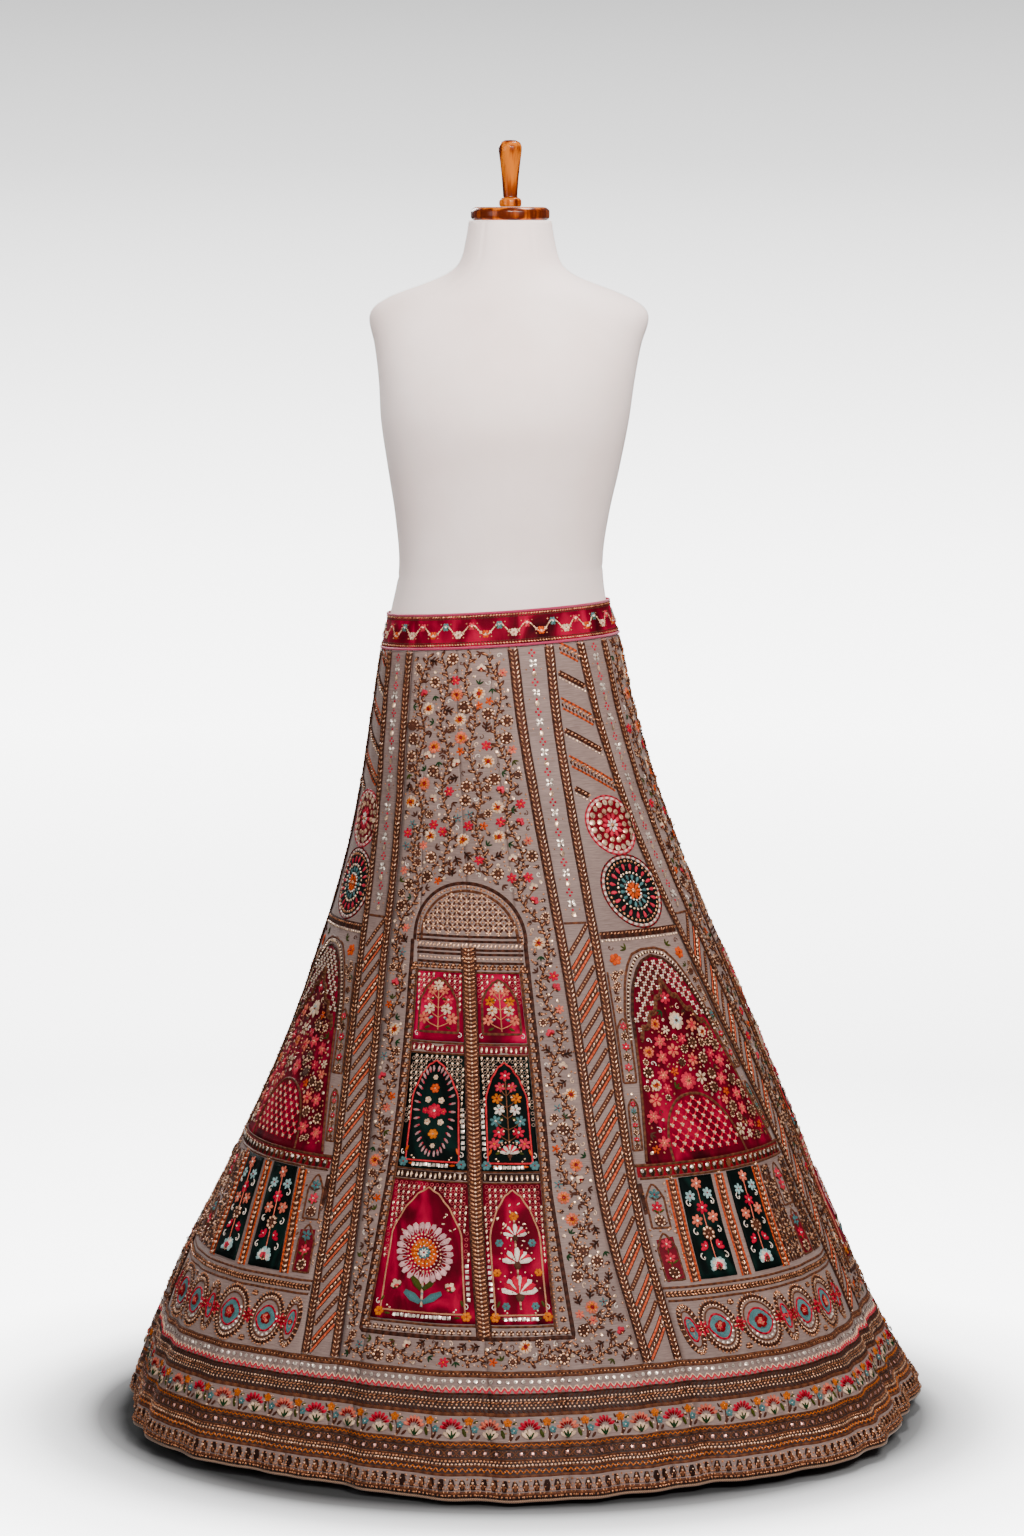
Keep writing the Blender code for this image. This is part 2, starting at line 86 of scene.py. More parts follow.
for name, kind, place, target, size, power, tint in (
        ("key_lamp", "AREA", (1.6, -3.1, 2.6), (0.0, 0.0, 1.10), 1.2, 175.0, (1.0, 0.99, 0.98)),
        ("top_lamp", "AREA", (0.7, 1.0, 3.8), (0.0, 0.0, 0.5), 0.7, 90.0, (1.0, 1.0, 1.0)),
        ("fill_lamp", "AREA", (-2.9, -2.6, 2.0), (0.0, 0.0, 1.0), 2.0, 55.0, (0.97, 0.98, 1.0)),
        ("rear_lamp", "AREA", (-1.9, 3.1, 2.6), (0.0, 0.0, 0.9), 1.8, 150.0, (1.0, 1.0, 1.0)),
        ("bust_lamp", "SPOT", (0.3, -3.4, 2.9), (0.0, 0.0, 1.44), 0.4, 1600.0, (1.0, 0.99, 0.98))):
    lamp_data = bpy.data.lights.new(name, kind)
    if kind == "AREA":
        lamp_data.shape = "DISK"
        lamp_data.size = size
    else:
        lamp_data.shadow_soft_size = size
        lamp_data.spot_size = math.radians(13.0)
        lamp_data.spot_blend = 1.0
    lamp_data.energy = power
    lamp_data.color = tint
    lamp = bpy.data.objects.new(name, lamp_data)
    bpy.context.scene.collection.objects.link(lamp)
    lamp.visible_camera = False
    lamp.location = place
    away = [target[k] - place[k] for k in range(3)]
    level = math.hypot(away[0], away[1])
    lamp.rotation_euler = (math.pi / 2 + math.atan2(away[2], level), 0.0, math.atan2(-away[0], away[1]))

world = bpy.data.worlds.new("studio")
world.use_nodes = True
world.node_tree.nodes["Background"].inputs["Color"].default_value = (0.86, 0.87, 0.89, 1.0)
world.node_tree.nodes["Background"].inputs["Strength"].default_value = 0.24
bpy.context.scene.world = world


def dye(red, green, blue):
    """A colour given on the 0 to 255 scale, as linear light."""
    return tuple(((c / 255 + 0.055) / 1.055) ** 2.4 for c in (red, green, blue))


class Finish:
    """A Principled material, with short ways to wire textures into it."""

    def __init__(self, name, colour, roughness, metallic=0.0, **sockets):
        self.made = bpy.data.materials.new(name)
        self.made.use_nodes = True
        self.nodes, self.links = self.made.node_tree.nodes, self.made.node_tree.links
        self.shader = self.nodes["Principled BSDF"]
        sockets.update(Base_Color=(*colour, 1.0), Roughness=roughness, Metallic=metallic)
        for socket, value in sockets.items():
            self.shader.inputs[socket.replace("_", " ")].default_value = value

    def node(self, kind, source=None, socket=0, **settings):
        """A node fed by a source; settings with a capital are its inputs, the others its own options."""
        made = self.nodes.new("ShaderNode" + kind)
        for name, value in settings.items():
            if name[0].isupper():
                made.inputs[name.replace("_", " ")].default_value = value
            else:
                setattr(made, name, value)
        if source is not None:
            self.links.new(source, made.inputs[socket])
        return made

    def spot(self, kind):
        return self.node("TexCoord").outputs[kind]

    def mapped(self, source, **settings):
        return self.node("Mapping", source, "Vector", **settings).outputs["Vector"]

    def noise(self, source, scale, detail=3.0, rough=0.55, **more):
        made = self.node("TexNoise", source, "Vector", Scale=scale, Detail=detail, Roughness=rough, **more)
        return made.outputs["Fac"]

    def wave(self, source, scale, **more):
        return self.node("TexWave", source, "Vector", Scale=scale, **more).outputs["Fac"]

    def ramp(self, source, *stops, interpolation="LINEAR"):
        """A colour ramp from (place, colour) stops; a plain number is a grey."""
        ramp = self.node("ValToRGB", source)
        ramp.color_ramp.interpolation = interpolation
        while len(ramp.color_ramp.elements) < len(stops):
            ramp.color_ramp.elements.new(0.5)
        for element, (place, colour) in zip(ramp.color_ramp.elements, stops):
            element.position = place
            element.color = (*(colour if isinstance(colour, tuple) else (colour,) * 3), 1.0)
        return ramp.outputs["Color"]

    def mix(self, first, second, factor=None, blend_type="MIX"):
        mixed = self.node("Mix", data_type="RGBA", blend_type=blend_type)
        self.links.new(first, mixed.inputs[6])
        self.links.new(second, mixed.inputs[7])
        if factor is None:
            mixed.inputs["Factor"].default_value = 1.0
        else:
            self.links.new(factor, mixed.inputs["Factor"])
        return mixed.outputs[2]

    def feed(self, **sources):
        for socket, source in sources.items():
            self.links.new(source, self.shader.inputs[socket.replace("_", " ")])

    def bump(self, source, strength, distance):
        self.feed(Normal=self.node("Bump", source, "Height", Strength=strength, Distance=distance).outputs[0])


def shaped_grid(name, columns, rows, shape):
    """A flat grid primitive whose points are laid where shape(u, v) says, with its UV map in metres."""
    bpy.ops.object.select_all(action="DESELECT")
    bpy.ops.mesh.primitive_grid_add(x_subdivisions=columns, y_subdivisions=rows, size=1.0)
    made = bpy.context.object
    made.name = made.data.name = name
    flat = np.empty(len(made.data.vertices) * 3)
    made.data.vertices.foreach_get("co", flat)
    flat = flat.reshape(-1, 3)
    points, pattern = shape(flat[:, 0] + 0.5, flat[:, 1] + 0.5)
    made.data.vertices.foreach_set("co", points.ravel())
    corners = np.empty(len(made.data.loops), np.int32)
    made.data.loops.foreach_get("vertex_index", corners)
    made.data.uv_layers[0].data.foreach_set("uv", pattern[corners].ravel())
    made.data.update()
    bpy.ops.object.shade_smooth()
    return made


def merge_doubles(threshold, recalculate=True):
    """Close the seams and poles of the active piece, and turn its faces outwards."""
    bpy.ops.object.mode_set(mode="EDIT")
    bpy.ops.mesh.select_all(action="SELECT")
    bpy.ops.mesh.remove_doubles(threshold=threshold)
    if recalculate:
        bpy.ops.mesh.normals_make_consistent(inside=False)
    bpy.ops.object.mode_set(mode="OBJECT")


def give_wall(piece, thickness):
    wall_maker = piece.modifiers.new("wall", "SOLIDIFY")
    wall_maker.thickness = thickness
    wall_maker.offset = 0.0
    bpy.ops.object.select_all(action="DESELECT")
    piece.select_set(True)
    bpy.context.view_layer.objects.active = piece
    bpy.ops.object.modifier_apply(modifier=wall_maker.name)


STAGE_REACH = 9.0
FLOOR_REACH = 1.1 * STAGE_REACH
BACKDROP_HEIGHT = 6.0
FULL_GLOW = 8.0


def floor_shape(u, v):
    x, y = (2.0 * u - 1.0) * FLOOR_REACH, (2.0 * v - 1.0) * FLOOR_REACH
    return np.stack([x, y, 0.0 * u], 1), np.stack([u, v], 1)


def backdrop_shape(u, v):
    """A tall ring of paper right round the studio, wider than any view of the form needs."""
    turn = 2.0 * math.pi * u
    ring = [STAGE_REACH * np.sin(turn), STAGE_REACH * np.cos(turn), BACKDROP_HEIGHT * v]
    return np.stack(ring, 1), np.stack([u, v], 1)


def glow(paper, source, *levels):
    """Grey levels at distances in metres along a value, as a share of the paper's full glow."""
    share = paper.node("Math", source, operation="DIVIDE")
    share.inputs[1].default_value = STAGE_REACH
    return paper.ramp(share.outputs[0], *[(place / STAGE_REACH, level) for place, level in levels])


for name, shape, columns, rows in (("floor", floor_shape, 8, 8), ("backdrop", backdrop_shape, 96, 6)):
    sheet = shaped_grid(name, columns, rows, shape)
    paper = Finish(name + "_paper", (0.0, 0.0, 0.0), 0.9, Specular_IOR_Level=0.0, Emission_Strength=FULL_GLOW)
    if name == "floor":
        away = paper.node("VectorMath", paper.spot("Object"), operation="LENGTH").outputs["Value"]
        # Painted shadow: the floor's colour darkens in a soft ring round the hem, and its glow dies away
        # there too.
        shade = ((0.49, 0.05), (0.515, 0.14), (0.565, 0.60), (0.64, 0.84), (4.0, 0.84), (8.0, 0.0))
        # Painted light: beyond that ring the floor glows, as if lit.
        light = ((0.53, 0.0), (0.60, 0.13), (0.70, 0.48), (0.90, 0.76), (1.3, 0.72), (2.6, 0.52), (4.5, 0.7),
                 (8.6, 0.9))
        paper.feed(Base_Color=glow(paper, away, *shade), Emission_Color=glow(paper, away, *light))
    else:
        rise = paper.node("SeparateXYZ", paper.spot("Object")).outputs["Z"]
        # Painted light: the backdrop glows brightest at its foot and fades to grey higher up.
        light = ((0.0, 0.9), (0.5, 0.76), (1.1, 0.48), (1.7, 0.24), (2.3, 0.12), (4.0, 0.07))
        paper.feed(Emission_Color=glow(paper, rise, *light))
    for unseen in ("visible_diffuse", "visible_glossy", "visible_transmission", "visible_shadow"):
        setattr(sheet, unseen, False)
    sheet.data.materials.append(paper.made)


def seat(piece, finish, slot, *nodes_replaced):
    """Give a piece its material, let it move with the part, and hide the solids that it stands for."""
    piece.data.materials.clear()
    piece.data.materials.append(finish.made)
    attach(piece, "root")
    if nodes_replaced:
        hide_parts(*nodes_replaced)


# ---- Stand: round base and pole -----------------------------------------------------------------------
# A weighted steel disc with a short hub, and a plain tube that goes up into the form. Both are brushed and
# lacquered; the solids' own shapes are right, so they only get their finish.
steel = Finish("brushed_steel", dye(176, 177, 180), 0.34, 1.0)
brushing = steel.noise(steel.mapped(steel.spot("Object"), Scale=(1.0, 1.0, 14.0)), 160.0, 4.0, 0.7)
steel.feed(Base_Color=steel.ramp(brushing, (0.3, dye(160, 161, 164)), (0.7, dye(192, 193, 196))),
           Roughness=steel.ramp(brushing, (0.3, 0.26), (0.7, 0.42)))
steel.bump(brushing, 0.12, 0.0004)
for node in ("base", "pole"):
    frame["nodes"][node].data.materials.clear()
    frame["nodes"][node].data.materials.append(steel.made)

# ---- Dress form ---------------------------------------------------------------------------------------
# A stiff limbless torso, covered in an off-white cotton that is cut in eight lengthwise pieces, with a
# seam round the base of the neck and one round the waist.
SECTIONS = np.array((
    # height, half width, half depth, shift in X, turn, right seam, left seam, window panels' share
    (0.010, 0.510, 0.488, 0.016, 0.0, 0.088, 0.185, 0.540),
    (0.060, 0.489, 0.470, 0.010, 0.1, 0.088, 0.180, 0.535),
    (0.120, 0.465, 0.448, 0.006, 0.0, 0.087, 0.168, 0.527),
    (0.200, 0.431, 0.416, 0.005, -1.0, 0.085, 0.145, 0.517),
    (0.300, 0.383, 0.369, 0.009, -3.4, 0.083, 0.118, 0.514),
    (0.400, 0.338, 0.322, 0.014, -6.0, 0.078, 0.095, 0.532),
    (0.500, 0.295, 0.278, 0.016, -8.5, 0.071, 0.080, 0.573),
    (0.600, 0.256, 0.238, 0.013, -10.6, 0.063, 0.068, 0.619),
    (0.700, 0.219, 0.196, 0.007, -12.7, 0.055, 0.058, 0.665),
    (0.800, 0.189, 0.162, -0.001, -14.7, 0.048, 0.050, 0.711),
    (0.900, 0.166, 0.134, -0.009, -16.7, 0.042, 0.043, 0.757),
    (0.990, 0.149, 0.114, -0.013, -18.2, 0.037, 0.037, 0.798),
    (1.050, 0.134, 0.102, -0.016, -19.2, 0.033, 0.033, 0.822),
))
FORM_LOW, FORM_HIGH = 0.797, 1.5197
FORM_SECTIONS = np.array((
    # height, half width, half depth, shift in X, shift in Y
    (FORM_LOW, 0.118, 0.088, -0.005, 0.0), (0.800, 0.136, 0.102, -0.005, 0.0),
    (0.812, 0.148, 0.113, -0.005, 0.0), (0.850, 0.156, 0.121, -0.007, 0.0),
    (0.900, 0.156, 0.122, -0.010, 0.0), (0.950, 0.151, 0.116, -0.012, 0.0),
    (0.996, 0.1462, 0.1114, -0.0133, 0.0), (1.038, 0.1361, 0.1035, -0.0153, 0.0),
    (1.090, 0.129, 0.098, -0.012, 0.0), (1.150, 0.135, 0.104, -0.010, -0.002),
    (1.210, 0.146, 0.115, -0.008, -0.006), (1.270, 0.156, 0.125, -0.006, -0.011),
    (1.320, 0.161, 0.120, -0.004, -0.009), (1.365, 0.168, 0.102, -0.003, -0.002),
    (1.398, 0.176, 0.086, -0.002, 0.003), (1.414, 0.168, 0.077, -0.002, 0.003),
    (1.428, 0.143, 0.070, -0.002, 0.002), (1.441, 0.108, 0.064, -0.001, 0.002),
    (1.453, 0.080, 0.059, -0.001, 0.001), (1.468, 0.064, 0.056, 0.0, 0.0),
    (1.495, 0.056, 0.053, 0.0, 0.0), (FORM_HIGH, 0.052, 0.051, 0.0, 0.0),
))
FORM_SEAMS = np.radians((0.0, 33.0, 90.0, 147.0, 180.0, 213.0, 270.0, 327.0))
WAIST_SEAM, NECK_SEAM = 1.079, 1.462
SEAM_DEPTH = 0.0009


def table_at(table, height):
    """The table's other columns at each height, on a smooth curve through its rows."""
    height = np.asarray(height, float)
    last = len(table) - 1
    low = np.clip(np.searchsorted(table[:, 0], height, side="left") - 1, 0, last - 1)
    before, after = np.maximum(np.arange(last + 1) - 1, 0), np.minimum(np.arange(last + 1) + 1, last)
    slopes = (table[after] - table[before]) / (table[after, :1] - table[before, :1])
    step = (table[low + 1, 0] - table[low, 0])[..., None]
    u = (height - table[low, 0])[..., None] / step
    values = (table[low] * (2 * u**3 - 3 * u**2 + 1) + slopes[low] * step * (u**3 - 2 * u**2 + u)
              + table[low + 1] * (3 * u**2 - 2 * u**3) + slopes[low + 1] * step * (u**3 - u**2))
    return np.moveaxis(values[..., 1:], -1, 0)


def waist_lift(x, height):
    """The waist sits a little higher on its right-hand side."""
    rise = np.clip((height - 0.80) / 0.19, 0.0, 1.0)
    fall = np.clip((1.20 - height) / 0.15, 0.0, 1.0)
    return 0.065 * x * rise * fall


def form_shape(u, v):
    """Rings of the torso from its underside up; the first and last rings close on the middle."""
    height = FORM_LOW + (FORM_HIGH - FORM_LOW) * np.clip((v - 0.01) / 0.98, 0.0, 1.0)
    half_width, half_depth, shift_x, shift_y = table_at(FORM_SECTIONS, height)
    closed = np.where((v < 1e-6) | (v > 1.0 - 1e-6), 0.0, 1.0)
    turn = 2.0 * math.pi * u
    groove = np.zeros_like(u)
    for seam in FORM_SEAMS:
        reach = np.abs((turn - seam + math.pi) % (2.0 * math.pi) - math.pi) * half_width
        groove += np.exp(-((reach / 0.0022) ** 2))
    for level in (WAIST_SEAM, NECK_SEAM):
        groove += np.exp(-(((height - level) / 0.002) ** 2))
    inward = SEAM_DEPTH * np.minimum(groove, 1.0)
    x = shift_x + (half_width - inward) * np.sin(turn) * closed
    y = shift_y - (half_depth - inward) * np.cos(turn) * closed
    points = np.stack([x, y, height + waist_lift(x, height)], 1)
    return points, np.stack([turn * half_width, height], 1)


torso = shaped_grid("linen_torso", 128, 140, form_shape)
merge_doubles(0.00002, recalculate=False)
linen = Finish("form_cotton", dye(232, 225, 220), 0.82, Sheen_Weight=0.12)
stain = linen.noise(linen.spot("Object"), 6.0, 4.0)
weave = [linen.wave(linen.mapped(linen.spot("UV"), Rotation=(0.0, 0.0, turn)), 420.0, Distortion=1.2)
         for turn in (0.0, math.pi / 2)]
crossed = linen.node("Math", weave[0], operation="MULTIPLY")
linen.links.new(weave[1], crossed.inputs[1])
linen.feed(Base_Color=linen.ramp(stain, (0.3, dye(240, 216, 207)), (0.7, dye(254, 233, 226))))
linen.bump(crossed.outputs[0], 0.25, 0.0004)
seat(torso, linen, "linen", "dress_form")

# ---- Neck cap and finial ------------------------------------------------------------------------------
# Honey-brown lacquered wood, turned on a lathe: a disc with rounded edges that closes the neck, and a
# knob that swells towards its top and is screwed into the disc.
wood = Finish("lacquered_wood", dye(190, 128, 58), 0.24, Specular_IOR_Level=0.1, Coat_Weight=0.08,
              Coat_Roughness=0.12)
grain = wood.wave(wood.mapped(wood.spot("Object"), Scale=(1.0, 1.0, 0.12)), 38.0, wave_type="RINGS",
                  rings_direction="Z", Distortion=5.0, Detail=3.0, Detail_Scale=2.0)
wood.feed(Base_Color=wood.ramp(grain, (0.1, dye(70, 20, 0)), (0.5, dye(124, 50, 2)), (0.9, dye(176, 90, 10))))
wood.bump(grain, 0.06, 0.0003)


def lathe(name, profile):
    """Turn a run of (radius, height) points once round the upright axis; both ends close on it."""
    bpy.ops.object.select_all(action="DESELECT")
    bpy.ops.mesh.primitive_grid_add(x_subdivisions=1, y_subdivisions=1, size=0.01)
    made = bpy.context.object
    made.name = made.data.name = name
    bpy.ops.object.mode_set(mode="EDIT")
    bpy.ops.mesh.delete(type="VERT")
    bpy.ops.object.mode_set(mode="OBJECT")
    made.data.from_pydata([(radius, 0.0, height) for radius, height in profile],
                          [(k, k + 1) for k in range(len(profile) - 1)], [])
    bpy.ops.object.mode_set(mode="EDIT")
    bpy.ops.mesh.select_all(action="SELECT")
    bpy.ops.mesh.spin(steps=72, angle=2.0 * math.pi, center=(0.0, 0.0, 0.0), axis=(0.0, 0.0, 1.0))
    merge_doubles(0.00005)
    bpy.ops.object.shade_smooth()
    return made


def rounded(corners, reach, steps=4):
    """The run of corners with each inner corner eased over a short reach."""
    path = [corners[0]]
    for before, corner, after in zip(corners, corners[1:], corners[2:]):
        legs = []
        for other in (before, after):
            span = math.dist(corner, other)
            share = min(reach, span * 0.45) / span
            legs.append([corner[k] + (other[k] - corner[k]) * share for k in range(2)])
        for step in range(steps + 1):
            t = step / steps
            path.append(tuple((1 - t) ** 2 * legs[0][k] + 2 * t * (1 - t) * corner[k] + t**2 * legs[1][k]
                              for k in range(2)))
    return path + [corners[-1]]


CAP_FOOT = 1.5200
cap_profile = [(radius, CAP_FOOT + up) for radius, up in (
    (0.0, 0.0), (0.0465, 0.0), (0.0495, 0.003), (0.0495, 0.0125), (0.046, 0.0155), (0.043, 0.0165),
    (0.0, 0.0165))]
seat(lathe("turned_neck_cap", rounded(cap_profile, 0.0022)), wood, "wood", "neck_cap")
KNOB_FOOT = 1.5368
knob_profile = [(radius, KNOB_FOOT + up) for radius, up in (
    (0.0, 0.0), (0.013, 0.0), (0.014, 0.002), (0.014, 0.008), (0.0125, 0.0105), (0.009, 0.0115),
    (0.0094, 0.020), (0.0108, 0.038), (0.0128, 0.056), (0.0146, 0.070), (0.0146, 0.075), (0.0125, 0.080),
    (0.007, 0.0828), (0.0, 0.0832))]
seat(lathe("turned_finial", rounded(knob_profile, 0.0016)), wood, "wood", "finial")

# ---- Silk gores and strips ----------------------------------------------------------------------------
# Dull mauve-grey silk on a firm backing, cut in long gores that flare from waist to hem, with a straight
# strip between each two panels. They are seamed edge to edge and hang from the waistband.
GAP = 0.0003
CLOTH = 0.0016
VELVET = 0.0012
RAISED = 0.001
HEM = 0.01
BORDER_TOP = 0.145
PANEL_TOP = 0.9912
STRIP_WIDTH = 0.052
LEAF_BAND = 0.011
CENTRES = np.array((0.0, 54.0, 110.0, 180.0, 250.0, 306.0))
FOLLOWING = np.array((54.0, 110.0, 180.0, 250.0, 306.0, 360.0))
PANEL_NAMES = ("front", "right", "back_right", "back", "back_left", "left")
SIDES = ((1, "right"), (-1, "left"))
GORE_PITCH = 0.0088
STRIP_PITCH = 0.0052
FOLDS_TOP = 0.62
RIPPLES_TOP = 0.34


def mean_radius(z):
    rows = table_at(SECTIONS, z)
    return (rows[0] + rows[1]) / 2


def half_gores(panel, z):
    """Widths of the half panel after a centre and of the half panel before the next centre."""
    rows = table_at(SECTIONS, z)
    total = np.radians(FOLLOWING[panel] - CENTRES[panel]) * (rows[0] + rows[1]) / 2 - STRIP_WIDTH
    share = np.where(np.asarray(panel) % 2 == 0, rows[6], 1.0 - rows[6])
    return total * share, total * (1.0 - share)


def skirt_surface(angle, z):
    """The middle of the cloth at an angle round the panels and a height, with its folds."""
    half_width, half_depth, shift, turn, right_seam, left_seam, _ = table_at(SECTIONS, z)
    angle = angle % 360.0
    panel = np.searchsorted(CENTRES, angle, side="right") - 1
    spacing = FOLLOWING[panel] - CENTRES[panel]
    radius = (half_width + half_depth) / 2
    before = np.radians(angle - CENTRES[panel]) * radius
    after = np.radians(FOLLOWING[panel] - angle) * radius
    right_half, left_half = half_gores(panel, z)
    nearest = np.minimum(np.abs(before - right_half), np.abs(after - left_half))
    window = panel % 2 == 0
    nearest = np.minimum(nearest, np.where(window, before, after))
    nearest = np.minimum(nearest, np.where(window, np.abs(before - right_seam), np.abs(after - left_seam)))
    fade = np.maximum(0.0, (FOLDS_TOP - z) / FOLDS_TOP) ** 1.3
    swell = 1.0 + 0.026 * fade * np.cos(2.0 * np.pi * (angle - CENTRES[panel]) / spacing)
    dip = 0.004 * fade * np.exp(-((nearest / 0.018) ** 2))
    low = np.clip((RIPPLES_TOP - z) / RIPPLES_TOP, 0.0, 1.0) ** 1.5
    around = np.radians(angle)
    ripple = 0.0032 * low * np.sin(around * 31.0 + 1.4 * np.sin(around * 5.0) + 2.2 * z)
    ripple += 0.0016 * low * np.sin(around * 53.0 + 0.7)
    pucker = 0.00035 * np.sin(z * 96.0 + around * 13.0) * np.sin(around * 37.0 + z * 21.0)
    out = ripple + pucker - dip
    turned = np.radians(angle + turn)
    x = shift + (half_width * swell + out) * np.sin(turned)
    y = -(half_depth * swell + out) * np.cos(turned)
    hem_lift = 0.014 * np.sin(turned) ** 2 * np.maximum(0.0, (BORDER_TOP - z) / (BORDER_TOP - HEM))
    return np.stack([x, y, z + hem_lift + waist_lift(x, z)], -1)


def unit(vectors):
    return vectors / np.linalg.norm(vectors, axis=-1, keepdims=True)


def frames(angle, z):
    """Points of the surface with unit vectors to the right, up the cloth and out of it."""
    across = unit(skirt_surface(angle + 0.3, z) - skirt_surface(angle - 0.3, z))
    up = skirt_surface(angle, z + 0.003) - skirt_surface(angle, z - 0.003)
    out = unit(np.cross(across, up))
    return skirt_surface(angle, z), across, np.cross(out, across), out


def angle_of(place, d, z):
    """Angle of a point d metres right of a place's centre line; places 6 to 11 are the strips."""
    place = np.asarray(place)
    panel = place % 6
    per_metre = np.degrees(1.0 / mean_radius(z))
    strip = np.where(place >= 6, half_gores(panel, z)[0] + STRIP_WIDTH / 2, 0.0)
    return CENTRES[panel] + (strip + d) * per_metre


def panel_half(panel, side, z):
    return half_gores(panel, z)[0] if side > 0 else half_gores((panel - 1) % 6, z)[1]


def window_seam(side, z):
    rows = table_at(SECTIONS, z)
    return rows[4] if side > 0 else rows[5]


def cloth_piece(name, place, edges, low, high, lift, wall, pitch, raise_at=None):
    """A cloth wall between two edges that are given as distances from a place's centre line."""
    left, right = edges
    width = float(np.max(right(np.linspace(low, high, 9)) - left(np.linspace(low, high, 9))))
    columns = max(3, round(width / pitch))
    rows = max(4, round((high - low) / pitch))

    def lay(u, v):
        z = low + (high - low) * v
        d = left(z) + GAP / 2 + (right(z) - left(z) - GAP) * u
        raised = 0.0 if raise_at is None else raise_at(d, z)
        point, _, _, out = frames(angle_of(place, d, z), z)
        return point + out * np.asarray(lift + raised).reshape(-1, 1), np.stack([d, z], 1)

    made = shaped_grid(name, columns, rows, lay)
    area = sum(face.area for face in made.data.polygons)
    corners = np.empty(len(made.data.vertices) * 3)
    made.data.vertices.foreach_get("co", corners)
    grid = corners.reshape(rows + 1, columns + 1, 3)
    length = float(np.linalg.norm(np.diff(grid, axis=0), axis=2).sum(0).max())
    across = float(np.linalg.norm(np.diff(grid, axis=1), axis=2).sum(1).max())
    give_wall(made, wall)
    return made, (across, length), area


def border_raised(d, z):
    return RAISED * np.clip((BORDER_TOP - z) / 0.004, 0.0, 1.0)


def strip_raised(d, z):
    band = np.clip((np.abs(d) - (STRIP_WIDTH / 2 - LEAF_BAND)) / 0.0015, 0.0, 1.0)
    return np.maximum(RAISED * band, border_raised(d, z))


silk = Finish("mauve_silk", dye(130, 111, 103), 0.62, Specular_IOR_Level=0.25, Sheen_Weight=0.08,
              Sheen_Roughness=0.4)
threads = silk.noise(silk.mapped(silk.spot("UV"), Scale=(60.0, 900.0, 1.0)), 1.0, 3.0, 0.6)
cloud = silk.noise(silk.spot("Object"), 9.0, 4.0)
woven = silk.mix(silk.ramp(threads, (0.25, dye(112, 90, 82)), (0.75, dye(155, 130, 121))),
                 silk.ramp(cloud, (0.3, (0.8, 0.78, 0.78)), (0.7, (1.08, 1.06, 1.05))), blend_type="MULTIPLY")
# The worked bands of the border lie on brown thread, so the ground changes colour with the height.
GROUND_TOP = 0.16
stops = []
for start, end in ((0.0001, 0.0166), (0.0334, 0.0715), (0.1006, 0.125), (0.144, 0.151)):
    stops += [(start / GROUND_TOP, 1.0), (end / GROUND_TOP, 0.0)]
level = silk.node("MapRange", silk.node("SeparateXYZ", silk.spot("UV")).outputs["Y"], From_Max=GROUND_TOP)
brown_thread = silk.ramp(threads, (0.3, dye(34, 17, 12)), (0.7, dye(60, 34, 26)))
worked = silk.ramp(level.outputs["Result"], *stops, interpolation="CONSTANT")
silk.feed(Base_Color=silk.mix(woven, brown_thread, worked))
silk.bump(threads, 0.35, 0.0005)


def silk_piece(node, place, edges, pitch, raise_at):
    piece, flat, area = cloth_piece("silk_" + node, place, edges, HEM, PANEL_TOP, 0.0, CLOTH, pitch, raise_at)
    seat(piece, silk, "silk", node)


for panel, name in enumerate(PANEL_NAMES):
    if panel % 2:
        edges = (lambda z: -panel_half(panel, -1, z), lambda z: panel_half(panel, 1, z))
        silk_piece(f"arch_gore_{name}", panel, edges, GORE_PITCH, border_raised)
        continue
    for side, label in SIDES:
        lines = (lambda z: 0.0 * z, lambda z: side * window_seam(side, z),
                 lambda z: side * panel_half(panel, side, z))
        for kind, edges in (("window", lines[:2]), ("floral", lines[1:])):
            silk_piece(f"{kind}_gore_{name}_{label}", panel, edges[::side], GORE_PITCH, border_raised)
for panel, name in enumerate(PANEL_NAMES):
    edges = (lambda z: 0.0 * z - STRIP_WIDTH / 2, lambda z: 0.0 * z + STRIP_WIDTH / 2)
    node = f"stripe_strip_{name}_to_{PANEL_NAMES[(panel + 1) % 6]}"
    silk_piece(node, 6 + panel, edges, STRIP_PITCH, strip_raised)

# ---- Velvet windows and arches ------------------------------------------------------------------------
# Silk velvet appliques, turned in at the edge and felled to the silk: three windows on each half of a
# window panel, and one cusped field with two tall windows on each arch panel.
DIVIDER_HALF = 0.009
WINDOW_MARGIN = 0.003
WINDOWS = (("crimson", 0.203, 0.359), ("green", 0.372, 0.504), ("pink", 0.52, 0.6))
ARCH_OUTLINE = np.array((
    # height, share of the panel's half width
    (0.374, 0.88), (0.5, 0.74), (0.55, 0.68), (0.575, 0.6), (0.597, 0.45), (0.61, 0.25), (0.615, 0.02),
))
TALL_HIGH, TALL_LOW = 0.357, 0.24
VELVET_LIFT = CLOTH / 2 + GAP + VELVET / 2
SLIDE = {1: -0.19, 5: 0.19}


